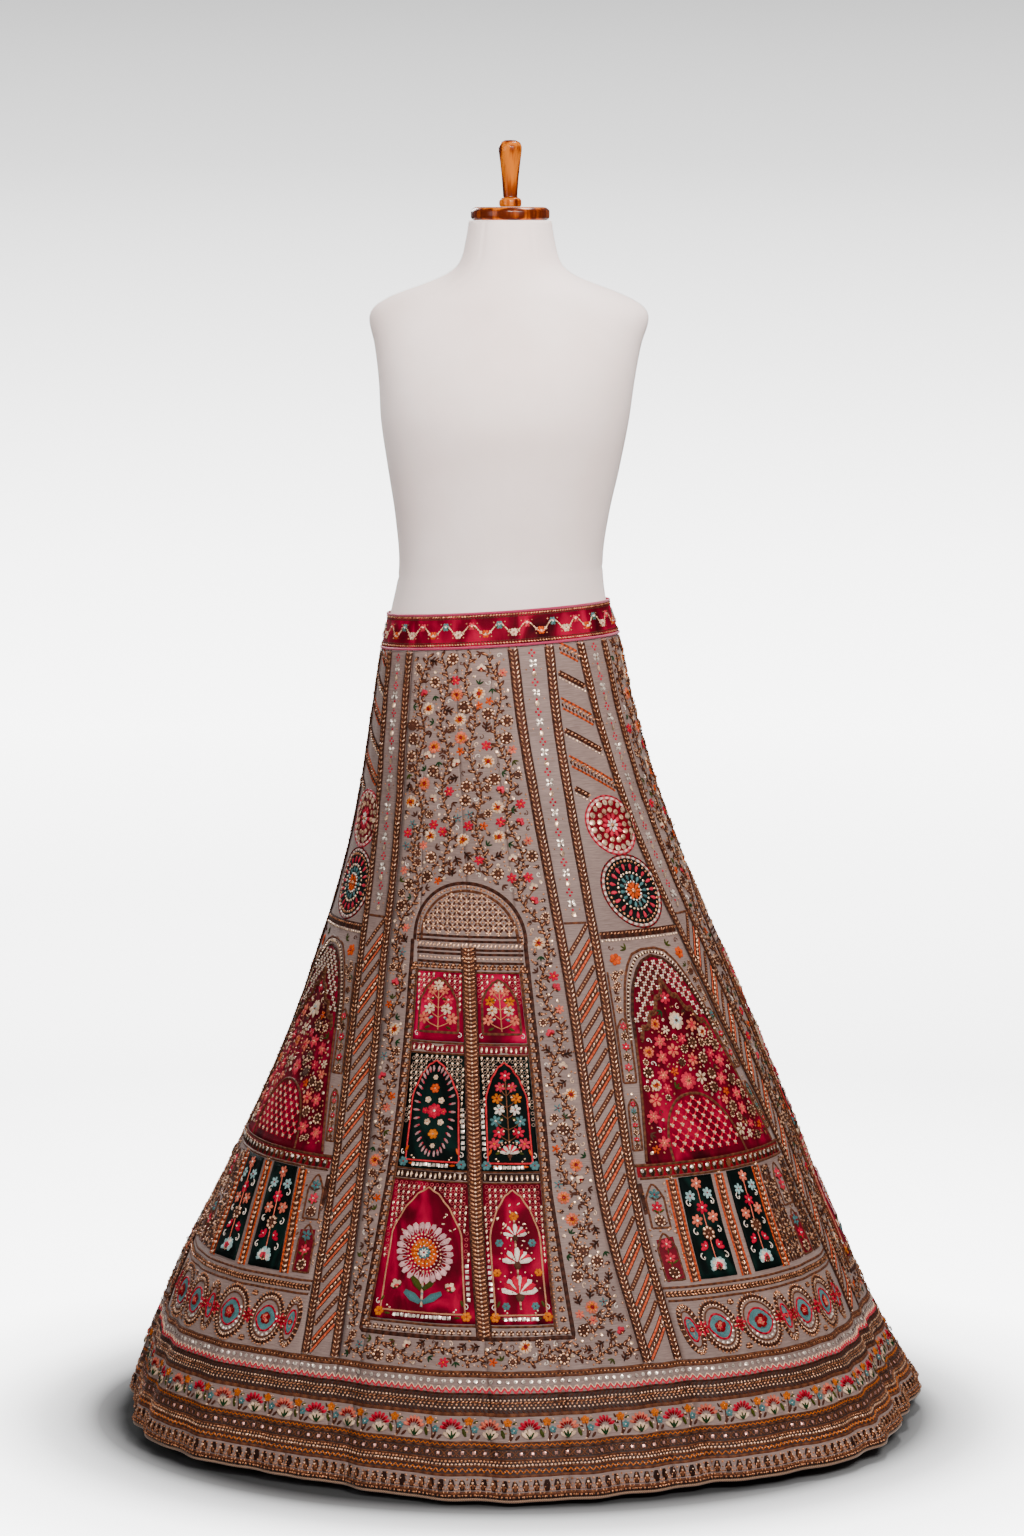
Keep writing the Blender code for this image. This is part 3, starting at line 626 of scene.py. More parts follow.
def velvet_finish(name, dark, middle, bright):
    """Short pile that lies in changing directions; the soft clouds from dark to bright in its colour are
    painted sheen and shade, where the crushed pile would catch the light or turn from it.
    """
    made = Finish(name, middle, 0.6, Specular_IOR_Level=0.03, Sheen_Weight=0.06, Sheen_Roughness=0.3,
                  Sheen_Tint=(*[min(1.0, c * 2.2 + 0.01) for c in bright], 1.0))
    lay = made.mapped(made.spot("UV"), Scale=(26.0, 13.0, 1.0), Rotation=(0.0, 0.0, 0.7))
    # Painted sheen and shade: the crushed pile's clouds are laid into the base colour.
    crushed_pile_sheen = made.noise(lay, 1.0, 3.0, 0.45, Distortion=1.1)
    made.feed(Base_Color=made.ramp(crushed_pile_sheen, (0.3, dark), (0.5, middle), (0.68, bright)))
    both = made.node("Math", made.noise(made.spot("UV"), 1900.0, 2.0, 0.5), operation="MULTIPLY_ADD")
    both.inputs[1].default_value = 0.25
    made.links.new(crushed_pile_sheen, both.inputs[2])
    made.bump(both.outputs[0], 0.5, 0.002)
    return made


velvets = {
    "crimson": velvet_finish("crimson_velvet", dye(46, 0, 9), dye(96, 0, 23), dye(162, 0, 47)),
    "pink": velvet_finish("pink_velvet", dye(70, 0, 18), dye(134, 0, 37), dye(198, 2, 66)),
    "green": velvet_finish("green_velvet", dye(2, 6, 5), dye(4, 13, 11), dye(11, 34, 29)),
}


def slide(panel, z):
    """How far an arch panel's pattern has slid towards the front at a height."""
    return SLIDE.get(panel, 0.0) * np.maximum(0.0, 0.45 - z)


def arch_edge(panel, z, grow=0.0):
    """The velvet field's left and right edges, moved out by a distance."""
    share = np.interp(z, ARCH_OUTLINE[:, 0], ARCH_OUTLINE[:, 1])
    low, high = -panel_half(panel, -1, z), panel_half(panel, 1, z)
    middle, reach = (low + high) / 2, share * (high - low) / 2 + grow
    return middle - reach, middle + reach


def velvet_piece(name, node, colour, place, edges, low, high, pitch):
    piece, flat, area = cloth_piece(name, place, edges, low, high, VELVET_LIFT, VELVET, pitch)
    seat(piece, velvets[colour], "velvet_" + colour, node)


for panel, name in enumerate(PANEL_NAMES):
    if panel % 2 == 0:
        for side, label in SIDES:
            edges = (lambda z: 0.0 * z + side * DIVIDER_HALF,
                     lambda z: side * (window_seam(side, z) - WINDOW_MARGIN))[::side]
            for colour, low, high in WINDOWS:
                node = f"velvet_{colour}_{name}_{label}"
                velvet_piece("window_" + node, node, colour, panel, edges, low, high, 0.005)
        continue
    edges = (lambda z: arch_edge(panel, z)[0], lambda z: arch_edge(panel, z)[1])
    velvet_piece(f"arch_velvet_{name}", f"velvet_arch_{name}", "crimson", panel, edges, ARCH_OUTLINE[0, 0],
                 ARCH_OUTLINE[-1, 0], 0.006)
    for side, label in SIDES:
        def tall_line(z, top, foot):
            reach = top + (foot - top) * (TALL_HIGH - z) / (TALL_HIGH - TALL_LOW)
            return side * reach + slide(panel, z)

        edges = (lambda z: tall_line(z, 0.013, 0.014), lambda z: tall_line(z, 0.06, 0.066))[::side]
        node = f"velvet_tall_{name}_{label}"
        velvet_piece("window_" + node, node, "green", panel, edges, TALL_LOW, TALL_HIGH, 0.005)

# ---- Waistband and hem piping -------------------------------------------------------------------------
# The band is crimson velvet over a stiff tape, corded in magenta along both edges, with its ends meeting
# at the middle of the back. The hem is finished underneath with a cream covered cord.
BAND_BOTTOM = 0.992
BAND_TOP = 1.038
BAND_INSET = 0.0012
BAND_LENGTH_UP = BAND_TOP - BAND_BOTTOM - 2 * BAND_INSET
CORD_INSET = 0.0022


def band_point(turn, z, out):
    half_width, half_depth, shift = table_at(SECTIONS, z)[:3]
    x = shift + (half_width + out) * np.sin(turn)
    y = -(half_depth + out) * np.cos(turn)
    return np.stack([x, y, z + waist_lift(x, z)], -1)


def band_shape(u, v):
    turn = math.pi + 2.0 * math.pi * (0.0008 + 0.9984 * u)
    z = BAND_BOTTOM + BAND_INSET + BAND_LENGTH_UP * v
    return band_point(turn, z, 0.0006), np.stack([turn * 0.13, z], 1)


band = shaped_grid("velvet_waistband", 150, 8, band_shape)
give_wall(band, 0.0026)
seat(band, velvets["crimson"], "velvet_crimson", "waistband")


def cord_ring(name, points, radius, sides=10):
    """A round cord laid through a closed ring of points, as a mesh tube."""
    count = len(points)

    def lay(u, v):
        index = np.round(u * count).astype(int) % count
        ahead = unit(points[(index + 1) % count] - points[index - 1])
        level = unit(np.cross(ahead, np.array([0.0, 0.0, 1.0])))
        rise = np.cross(level, ahead)
        turn = 2.0 * math.pi * v
        around = level * np.cos(turn)[:, None] + rise * np.sin(turn)[:, None]
        return points[index] + around * radius, np.stack([u * count * 0.008, v * 0.01], 1)

    made = shaped_grid(name, count, sides, lay)
    merge_doubles(0.00005)
    return made


def cord_finish(name, colour, shadow):
    made = Finish(name, colour, 0.55, Sheen_Weight=0.3)
    ply = made.wave(made.mapped(made.spot("UV"), Rotation=(0.0, 0.0, 0.6)), 150.0, Distortion=0.6)
    made.feed(Base_Color=made.ramp(ply, (0.1, shadow), (0.6, colour)))
    made.bump(ply, 0.5, 0.0006)
    return made


turns = np.linspace(0.0, 2.0 * math.pi, 180, endpoint=False)
magenta_cord = cord_finish("magenta_cord", dye(196, 24, 84), dye(120, 10, 46))
for label, z in (("lower", BAND_BOTTOM + CORD_INSET), ("upper", BAND_TOP - CORD_INSET)):
    piece = cord_ring(f"waist_cord_{label}", band_point(turns, 0.0 * turns + z, 0.0024), 0.0017)
    seat(piece, magenta_cord, "velvet_crimson")
hem_angles = np.linspace(0.0, 360.0, 400, endpoint=False)
hem_points = skirt_surface(hem_angles, 0.0 * hem_angles + HEM) - np.array([0.0, 0.0, CORD_INSET])
piece = cord_ring("cream_hem_cord", hem_points, 0.0018)
seat(piece, cord_finish("cream_piping", dye(150, 112, 84), dye(96, 64, 46)), "piping", "hem_piping")

# ---- Hem border embroidery ----------------------------------------------------------------------------
# Row on row of hand work all round the hem: couched brown braids, gold beads, round sequins, a pink and
# white zigzag, a row of fan palmettes, rope stitch in orange, and a row of cones above the piping.
GOLD = dye(194, 126, 86)
PALE_GOLD = dye(242, 184, 146)
OLD_GOLD = dye(112, 66, 42)
BROWN = dye(80, 43, 30)
DARK_BROWN = dye(44, 22, 15)
WHITE = dye(255, 234, 218)
CREAM = dye(246, 204, 170)
ROSE = dye(216, 48, 72)
PINK = dye(204, 4, 52)
CRIMSON = dye(132, 0, 18)
SALMON = dye(232, 116, 90)
ORANGE = dye(216, 80, 22)
AMBER = dye(206, 102, 18)
MUSTARD = dye(220, 112, 4)
TEAL = dye(80, 122, 124)
OLIVE = dye(64, 68, 16)
GREEN = dye(26, 58, 26)
SILK_TOP = CLOTH / 2 + 0.00018
RAISED_TOP = SILK_TOP + RAISED
VELVET_TOP = CLOTH / 2 + GAP + VELVET + 0.00018
UP = math.pi / 2
PLACE_NAMES = list(PANEL_NAMES) + [f"{name}_strip" for name in PANEL_NAMES]
sewn = {}
couched = {}


def stitch_unit(corners, taper=0.0, from_base=False):
    """One bead, petal or sequin: a small fan of facets over a flat ring, read off once and then copied."""
    bpy.ops.object.select_all(action="DESELECT")
    bpy.ops.mesh.primitive_circle_add(vertices=corners, radius=0.5, fill_type="TRIFAN")
    made = bpy.context.object
    centre = max(range(len(made.data.vertices)), key=lambda k: -made.data.vertices[k].co.length)
    made.data.vertices[centre].co.z = 1.0
    for vertex in made.data.vertices:
        vertex.co.y *= 1.0 + taper * 2.0 * vertex.co.x
        if from_base:
            vertex.co.x += 0.5
    points = np.array([vertex.co[:] for vertex in made.data.vertices])
    faces = np.array([face.vertices[:] for face in made.data.polygons])
    bpy.ops.object.delete()
    first = points[faces[0]]
    if np.cross(first[1] - first[0], first[2] - first[0])[2] < 0:
        faces = faces[:, ::-1]
    return points, faces


UNITS = {
    "bead": stitch_unit(6),
    "petal": stitch_unit(7, 0.45, True),
    "leaf": stitch_unit(6, 0.0, True),
    "dash": stitch_unit(6),
    "sequin": stitch_unit(9),
    "square": stitch_unit(4),
}
bpy.ops.mesh.primitive_torus_add(major_segments=9, minor_segments=3, major_radius=0.4, minor_radius=0.1)
loop = bpy.context.object
bpy.ops.object.mode_set(mode="EDIT")
bpy.ops.mesh.quads_convert_to_tris()
bpy.ops.object.mode_set(mode="OBJECT")
UNITS["loop"] = (np.array([vertex.co[:] for vertex in loop.data.vertices]) * (1.0, 1.0, 10.0),
                 np.array([face.vertices[:] for face in loop.data.polygons]))
bpy.ops.object.delete()


def run_of(d, z):
    """A run of (distance, height) points; either may be one number."""
    return np.stack(np.broadcast_arrays(np.asarray(d, float), z), -1)


def along(place, path, step):
    """Even steps along a run: distances, heights and directions."""
    d, z = np.asarray(path, float).T
    fine = np.linspace(0, len(d) - 1, max(2, 4 * (len(d) - 1) + 1))
    fine_d, fine_z = np.interp(fine, np.arange(len(d)), d), np.interp(fine, np.arange(len(d)), z)
    spots, across, up, _ = frames(angle_of(place, fine_d, fine_z), fine_z)
    length = np.concatenate([[0.0], np.cumsum(np.linalg.norm(np.diff(spots, axis=0), axis=1))])
    at = np.linspace(0.0, length[-1], max(1, round(length[-1] / step)) + 1)
    ahead = np.gradient(spots, axis=0)
    turn = np.unwrap(np.arctan2((ahead * up).sum(1), (ahead * across).sum(1)))
    return np.interp(at, length, fine_d), np.interp(at, length, fine_z), np.interp(at, length, turn)


class Ground:
    """Cloth being worked: its place, the group its pieces are named for, and how high its face lies."""

    def __init__(self, place, lift=SILK_TOP, group=None):
        self.place, self.lift, self.group = place, lift, group or PLACE_NAMES[place]

    def above(self, more):
        """The same ground for work that lies over other work."""
        return Ground(self.place, self.lift + more, self.group)

    def sew(self, kind, unit_name, d, z, length, width, height, colour, turn=0.0):
        """Copies of a stitch unit at points of the place's pattern, turned from level right."""
        columns = [self.place, d, z, self.lift, length, width, height, turn, *colour]
        rows = np.stack(np.broadcast_arrays(*[np.atleast_1d(np.asarray(c, float)) for c in columns]), -1)
        sewn.setdefault(f"{kind}_{self.group}", {}).setdefault(unit_name, []).append(rows)

    def floss(self, unit_name, *stitch):
        self.sew("floss", unit_name, *stitch)

    def beads(self, unit_name, *stitch):
        self.sew("beads", unit_name, *stitch)

    def bead(self, d, z, size, height, colour):
        self.sew("beads", "bead", d, z, size, size, height, colour)

    def line(self, path, pitch, size, colour, unit_name="bead", wide=1.0, turn=0.0, kind="beads"):
        """A row of beads or leaves along a run, each turned from the run's own direction."""
        d, z, ahead = along(self.place, path, pitch)
        self.sew(kind, unit_name, d, z, size, size * wide, size * 0.42, colour, ahead + turn)

    def braid(self, path, width, colour, second=None, height=0.0007, step=0.006):
        """A couched braid: a low ridge along a run, in one colour or in two by turns."""
        d, z, _ = along(self.place, path, step)
        spots, _, _, out = frames(angle_of(self.place, d, z), z)
        ahead = unit(np.gradient(spots, axis=0))
        side = np.cross(out, ahead)
        base = spots + out * self.lift
        lines = np.stack([base - side * width / 2, base + out * height, base + side * width / 2], 1)
        k = np.arange(len(d) - 1)[:, None] * 3
        corners = np.array(((0, 3, 4), (0, 4, 1), (1, 4, 5), (1, 5, 2)))
        faces = np.concatenate([k + three for three in corners])
        colours = np.tile(np.array(colour), (len(d), 3, 1))
        if second is not None:
            colours[1::2] = second
        laid = lines.reshape(-1, 3), faces, colours.reshape(-1, 3)
        couched.setdefault(f"floss_{self.group}", []).append(laid)


def blossom(ground, d, z, radius, petals, colour, heart, turn=0.0, wide=0.62, kind="floss"):
    """A flower of petals round one bead."""
    width = radius * min(wide, 2.0 * math.pi / petals * 0.75)
    turns = turn + np.arange(petals) * 2.0 * math.pi / petals
    ground.sew(kind, "petal", d, z, radius, width, radius * 0.16, colour, turns)
    ground.bead(d, z, radius * 0.42, radius * 0.26, heart)


def ring_path(z, wave=0.0, waves=0, steps=360):
    """A level run all round the skirt, waving up and down if asked."""
    turn = np.linspace(-math.pi, math.pi, steps + 1)
    height = z + wave * np.sin(turn * waves)
    return run_of(turn * mean_radius(height), height)


def ring_spots(z, pitch, start=0.0):
    count = round(2.0 * math.pi * float(mean_radius(z)) / pitch)
    turn = (np.arange(count) + start) / count * 2.0 * math.pi - math.pi
    return turn * mean_radius(z), count


hem = Ground(0, RAISED_TOP, "hem_border")


def hem_row(kind, unit_name, z, pitch, length, colour, width=None, turn=0.0, start=0.0, height=0.42):
    width = width or length
    height *= min(length, width)
    hem.sew(kind, unit_name, ring_spots(z, pitch, start)[0], z, length, width, height, colour, turn)


for z, width, colour, second in ((0.1494, 0.003, BROWN, OLD_GOLD), (0.1452, 0.003, BROWN, OLD_GOLD),
                                 (0.1256, 0.0024, DARK_BROWN, BROWN), (0.116, 0.0022, DARK_BROWN, OLD_GOLD),
                                 (0.1028, 0.0042, BROWN, OLD_GOLD), (0.0717, 0.0022, BROWN, OLD_GOLD),
                                 (0.0658, 0.002, DARK_BROWN, OLD_GOLD), (0.0527, 0.002, BROWN, OLD_GOLD),
                                 (0.0447, 0.002, BROWN, OLD_GOLD), (0.0352, 0.0032, BROWN, OLD_GOLD),
                                 (0.0149, 0.003, BROWN, OLD_GOLD)):
    hem.braid(ring_path(z), width, colour, second, 0.0009, 0.0065)
hem_row("beads", "bead", 0.1473, 0.0046, 0.0024, GOLD)
hem_row("beads", "sequin", 0.1392, 0.0092, 0.005, WHITE, height=0.14)
hem_row("beads", "bead", 0.1392, 0.0092, 0.002, BROWN, height=1.0)
waves = round(2.0 * math.pi * float(mean_radius(0.1295)) / 0.0085)
for shift, colour in ((0.0016, CREAM), (0.0, PINK), (-0.0016, ROSE)):
    hem.braid(ring_path(0.1302 + shift, 0.0026, waves, waves * 8), 0.0012, colour, None, 0.0006, 0.0028)
hem_row("floss", "dash", 0.1226, 0.0056, 0.0054, BROWN, 0.0024, 0.7)
hem_row("beads", "bead", 0.119, 0.0046, 0.0026, PALE_GOLD)
hem_row("beads", "dash", 0.116, 0.0052, 0.0046, GOLD, 0.0018, 0.5)
hem_row("beads", "bead", 0.113, 0.0054, 0.0027, GOLD)
hem_row("beads", "bead", 0.1098, 0.0054, 0.0027, PALE_GOLD, start=0.5)
hem_row("floss", "dash", 0.1062, 0.0056, 0.0054, BROWN, 0.0022, -0.7)
# Palmettes: a fan of tipped petals over cream ones and green leaves, with small flowers between.
fans, fan_count = ring_spots(0.076, 0.045)
gap = 2.0 * math.pi * float(mean_radius(0.08)) / fan_count
for k, d in enumerate(fans):
    for lean in np.linspace(-1.25, 1.25, 7):
        rim_d, rim_z = d + 0.0046 * math.sin(lean), 0.0848 + 0.0046 * math.cos(lean)
        hem.floss("petal", rim_d, rim_z, 0.0098, 0.004, 0.0014, (PINK, SALMON)[k % 2], UP - lean)
        hem.above(0.0008).floss("petal", rim_d, rim_z, 0.0064, 0.0022, 0.0014, CRIMSON, UP - lean)
    for unit_name, leans, z, length, width, colour, lift in (
            ("petal", np.linspace(-0.9, 0.9, 5), 0.0752, 0.0128, 0.0048, CREAM, 0.0004),
            ("leaf", (-0.55, 0.0, 0.55), 0.0748, 0.0104, 0.0026, GREEN, 0.0018)):
        hem.above(lift).floss(unit_name, d, z, length, width, 0.0012, colour, UP - np.array(leans))
    blossom(hem, d + gap * 0.46, 0.0945, 0.0056, 5, AMBER, MUSTARD, 0.3, 0.8)
    blossom(hem, d + gap * 0.6, 0.0855, 0.0048, 5, TEAL, WHITE, 0.3, 0.8)
    for across, z, length, width, tone, turn in (
            (0.36, 0.0765, 0.012, 0.0048, OLIVE, 1.9), (0.5, 0.074, 0.011, 0.004, BROWN, 1.2),
            (0.62, 0.0745, 0.009, 0.0038, BROWN, 0.8), (0.42, 0.087, 0.007, 0.003, BROWN, 2.6),
            (0.56, 0.0925, 0.007, 0.0028, OLIVE, 0.4), (0.34, 0.093, 0.0064, 0.0026, BROWN, 2.0)):
        hem.floss("leaf", d + gap * across, z, length, width, 0.0012, tone, turn)
    for across, z in ((0.4, 0.083), (0.55, 0.08), (0.34, 0.0895), (0.66, 0.093), (0.47, 0.074),
                      (0.62, 0.0975)):
        hem.bead(d + gap * across, z, 0.0027, 0.0015, PALE_GOLD)
    hem.braid([(d + gap * 0.48, 0.0735), (d + gap * 0.51, 0.083), (d + gap * 0.47, 0.093)], 0.0016, BROWN)
for start in (0.0, 0.5):
    hem_row("floss", "dash", 0.069, 0.006, 0.0058, AMBER, 0.0013, 0.72 - start * 2.88, start)
squares, _ = ring_spots(0.0593, 0.0135)
hem.beads("square", squares, 0.0593, 0.0056, 0.0056, 0.0009, dye(226, 160, 144), math.pi / 4)
for lean in (0.8, -0.8):
    hem_row("floss", "dash", 0.0593, 0.0135, 0.0135, OLD_GOLD, 0.0018, lean, 0.5)
for z in (0.0625, 0.0561):
    hem_row("beads", "bead", z, 0.0045, 0.0022, OLD_GOLD)
hem_row("beads", "bead", 0.0504, 0.0044, 0.0032, GOLD)
hem_row("beads", "bead", 0.0469, 0.0044, 0.0032, PALE_GOLD, start=0.5)
for start in (0.0, 0.5):
    hem_row("floss", "dash", 0.0403, 0.0074, 0.0076, AMBER, 0.0017, 0.85 - start * 3.4, start, 0.5)
hem_row("beads", "bead", 0.0403, 0.0037, 0.0024, GOLD, start=0.5, height=0.8)
# Cones: a brown leaf with a gold heart, a bead at its tip and gold dashes round it.
cones, count = ring_spots(0.025, 0.0122)
hem.floss("leaf", cones, 0.0168, 0.0158, 0.0086, 0.001, DARK_BROWN, UP)
hem.above(0.0006).floss("leaf", cones, 0.0182, 0.0112, 0.005, 0.0012, OLD_GOLD, UP)
hem.above(0.001).bead(cones, 0.0258, 0.0034, 0.0018, PALE_GOLD)
for side in (-1, 1):
    for z, out in ((0.012, 0.003), (0.0158, 0.004), (0.0196, 0.0036), (0.0228, 0.0024)):
        hem.above(0.0006).beads("dash", cones + side * out, z, 0.0034, 0.0017, 0.0014, GOLD, UP + side * 0.35)
hem.bead(cones, 0.0293, 0.0024, 0.002, GOLD)
half = math.pi * float(mean_radius(0.025)) / count
for z, size in ((0.0192, 0.002), (0.024, 0.0024), (0.03, 0.003)):
    hem.bead(cones + half, z, size, size * 0.5, GOLD)
hem_row("beads", "bead", 0.0122, 0.0046, 0.0022, GOLD)

# ---- Strip embroidery ---------------------------------------------------------------------------------
# Each strip has a raised band of gold leaves down either side. Between them, flowers of white sequins with
# pink dots run down from the waist, and slanting bars of orange and brown fill the lower two thirds.
LEAF_AT = STRIP_WIDTH / 2 - LEAF_BAND / 2
BAR_REACH = STRIP_WIDTH / 2 - LEAF_BAND - 0.001
BAR_RISE = 0.034
FLOWERS_END = 0.657


def leaf_band(ground, at, low, high):
    """Gold leaves in pairs up a raised brown band, between two couched cords."""
    z = np.linspace(low, high, 12)
    ground.braid(run_of(at, z), LEAF_BAND, BROWN, None, 0.0002, 0.012)
    for shift in (-LEAF_BAND / 2 + 0.0008, LEAF_BAND / 2 - 0.0008):
        ground.braid(run_of(at + shift, z), 0.0026, BROWN, DARK_BROWN, 0.0012, 0.005)
    d, z, ahead = along(ground.place, run_of(at, z), 0.0058)
    for side, tone in ((-1, GOLD), (1, PALE_GOLD)):
        inner = d + side * LEAF_BAND * 0.22
        ground.beads("dash", inner, z, 0.0052, 0.0019, 0.0012, tone, ahead - side * 0.62)
        ground.bead(d + side * LEAF_BAND * 0.36, z + 0.0022, 0.0018, 0.0013, OLD_GOLD)


for place in range(6, 12):
    strip = Ground(place)
    for side in (-1, 1):
        leaf_band(strip.above(RAISED), side * LEAF_AT, BORDER_TOP + 0.008, PANEL_TOP - 0.002)
    for z in np.arange(FLOWERS_END + 0.012, 0.982, 0.036):
        strip.beads("sequin", 0.0, z, 0.0074, 0.0056, 0.001, CREAM, UP)
        blossom(strip, 0.0, z + 0.0135, 0.0062, 4, WHITE, OLD_GOLD, math.pi / 4, kind="beads")
        for dot_d, dot_z in ((0.0, 0.0225), (-0.0028, 0.0262), (0.0028, 0.0262), (0.0, 0.0298),
                             (0.0, 0.0055)):
            strip.floss("bead", dot_d, z + dot_z, 0.0032, 0.0032, 0.0014, PINK)
        for side in (-1, 1):
            strip.bead(side * 0.0085, z + 0.006, 0.002, 0.001, GOLD)
    strip.braid([(-BAR_REACH, FLOWERS_END + 0.002), (BAR_REACH, FLOWERS_END + 0.002)], 0.003, BROWN, OLD_GOLD,
                0.0009, 0.005)
    # Slanting bars from the left band up to the right one: rope, leaves, rope, beads.
    for low in np.arange(BORDER_TOP + 0.01, FLOWERS_END - 0.036, 0.0485):
        for up, kind in ((0.0, "rope"), (0.0068, "leaves"), (0.0136, "rope"), (0.031, "beads")):
            bar = np.array([(-BAR_REACH, low + up), (BAR_REACH, low + up + BAR_RISE)])
            if kind == "beads":
                strip.braid(bar, 0.0062, BROWN, None, 0.0004, 0.008)
                strip.line(bar, 0.004, 0.0028, GOLD)
            elif kind == "leaves":
                strip.braid(bar, 0.0045, BROWN, None, 0.0002, 0.008)
                strip.line(bar, 0.0062, 0.0058, PALE_GOLD, "dash", 0.42, 0.25)
            else:
                strip.braid(bar, 0.0032, dye(222, 102, 66), dye(186, 70, 40), 0.0012, 0.0028)
                for shift in (-0.0026, 0.0026):
                    strip.braid(bar + (0.0, shift), 0.001, DARK_BROWN, None, 0.0008)

# ---- Window panel embroidery --------------------------------------------------------------------------
# A ladder of gold beads runs up the middle between the two columns of windows. Each window has its own
# corded arch, net and flowering plant; a couched frame goes round all six, under a domed lattice, and a
# trailing vine with flowers fills the silk on both sides and up to the waist.
LADDER_LOW, LADDER_HIGH = 0.187, 0.63
ARCH_SPRING = 0.636
ARCH_REACH = 0.069
DOME_RISE = 0.07
# For each velvet: where its arch springs, the arch's cord, its share of the window, and the net's colour.
WINDOW_ARCHES = {
    "pink": (0.567, BROWN, 0.8, dye(214, 110, 110)),
    "green": (0.455, dye(206, 44, 52), 0.78, dye(188, 156, 138)),
    "crimson": (0.3, dye(190, 130, 96), 0.82, dye(206, 84, 90)),
}
SIMPLE_FLOWERS = {
    "pink": (6, PINK, MUSTARD, 0.52), "star": (5, TEAL, CRIMSON, 0.3), "orange": (5, ORANGE, CRIMSON, 0.52),
    "cream": (6, CREAM, OLD_GOLD, 0.42), "rose": (6, ROSE, SALMON, 0.5), "peach": (6, SALMON, PINK, 0.5),
}


def frame_line(side, z):
    low = 0.012 * np.clip((0.35 - z) / 0.16, 0.0, 1.0) if side > 0 else 0.0
    return side * (window_seam(side, z) + 0.008 + low)


def window_middle(side, z):
    return side * (DIVIDER_HALF + window_seam(side, z) - WINDOW_MARGIN) / 2


def window_reach(side, z):
    return (window_seam(side, z) - WINDOW_MARGIN - DIVIDER_HALF) / 2


def in_window(side, x, z):
    """Distance from the panel's centre of a share of a window's half width."""
    return window_middle(side, z) + x * window_reach(side, z)


def level_run(left, right, z):
    return [(left, z), (right, z)]


def round_spots(d, z, radius, count, start=0.0):
    """Points round a circle, and the directions they lie in."""
    turns = np.arange(count) * 2.0 * math.pi / count + start
    return d + radius * np.cos(turns), z + radius * np.sin(turns), turns


def inside_run(path, keep):
    """The longest stretch of a path where keep is true."""
    best, run = [], []
    for point, kept in zip(path, keep):
        run = run + [point] if kept else []
        if len(run) > len(best):
            best = run
    return np.array(best)


def triplets(ground, path, pitch, tone):
    """Little groups of three beads on a knot of brown thread, at even steps along a path."""
    d, z, _ = along(ground.place, path, pitch)
    ground.floss("bead", d, z, 0.0088, 0.008, 0.0006, BROWN)
    for across, up in ((0.0, 0.0018), (-0.0021, -0.0012), (0.0021, -0.0012)):
        ground.above(0.0003).bead(d + across, z + up, 0.0032, 0.0016, tone)


def curl(ground, d, z, radius, hand, tone, turn=0.0):
    """A small hooked tendril that ends in a bead."""
    sweep = turn + hand * np.linspace(0.0, 4.2, 9)
    reach = radius * np.linspace(1.0, 0.4, 9)
    hook = run_of(reach * np.cos(sweep), reach * np.sin(sweep))
    ground.braid(hook + (d, z), radius * 0.27, tone, step=radius * 0.5)
    ground.bead(*hook[-1] * 0.3 + (d, z), radius * 0.46, radius * 0.3, tone)


def layered_blossom(ground, d, z, radius, outer, inner, heart, petals=8):
    blossom(ground, d, z, radius, petals, outer, heart, 0.2, 0.7)
    blossom(ground.above(0.0004), d, z, radius * 0.66, petals, inner, heart, 0.2 + math.pi / petals, 0.7)


def tulip(ground, d, z, radius, tone, tip, turn):
    """Three petals over a brown cup."""
    for lean, length in ((0.75, 0.95), (-0.75, 0.95), (0.0, 1.15)):
        length *= radius
        ground.floss("petal", d, z, length, radius * 0.62, radius * 0.16, tip, turn + lean)
        ground.floss("petal", d, z, length * 0.6, radius * 0.42, radius * 0.24, tone, turn + lean)
    ground.floss("leaf", d, z, radius * 0.7, radius * 0.3, radius * 0.14, BROWN, turn + np.array((1.5, -1.5)))
    ground.bead(d, z, radius * 0.4, radius * 0.2, GOLD)


def leaf_spray(ground, d, z, radius, tone, turn):
    ground.floss("leaf", d - math.cos(turn) * radius * 0.5, z - math.sin(turn) * radius * 0.5, radius * 1.5,
                 radius * 0.46, radius * 0.16, tone, turn + np.array((-0.75, 0.0, 0.75)))


def gilt_rosette(ground, d, z, radius):
    ground.bead(*round_spots(d, z, radius * 0.72, 8)[:2], radius * 0.5, radius * 0.24, PALE_GOLD)
    ground.bead(d, z, radius * 0.55, radius * 0.26, OLD_GOLD)
    ground.floss("sequin", d, z, radius * 2.05, radius * 2.05, radius * 0.05, BROWN)


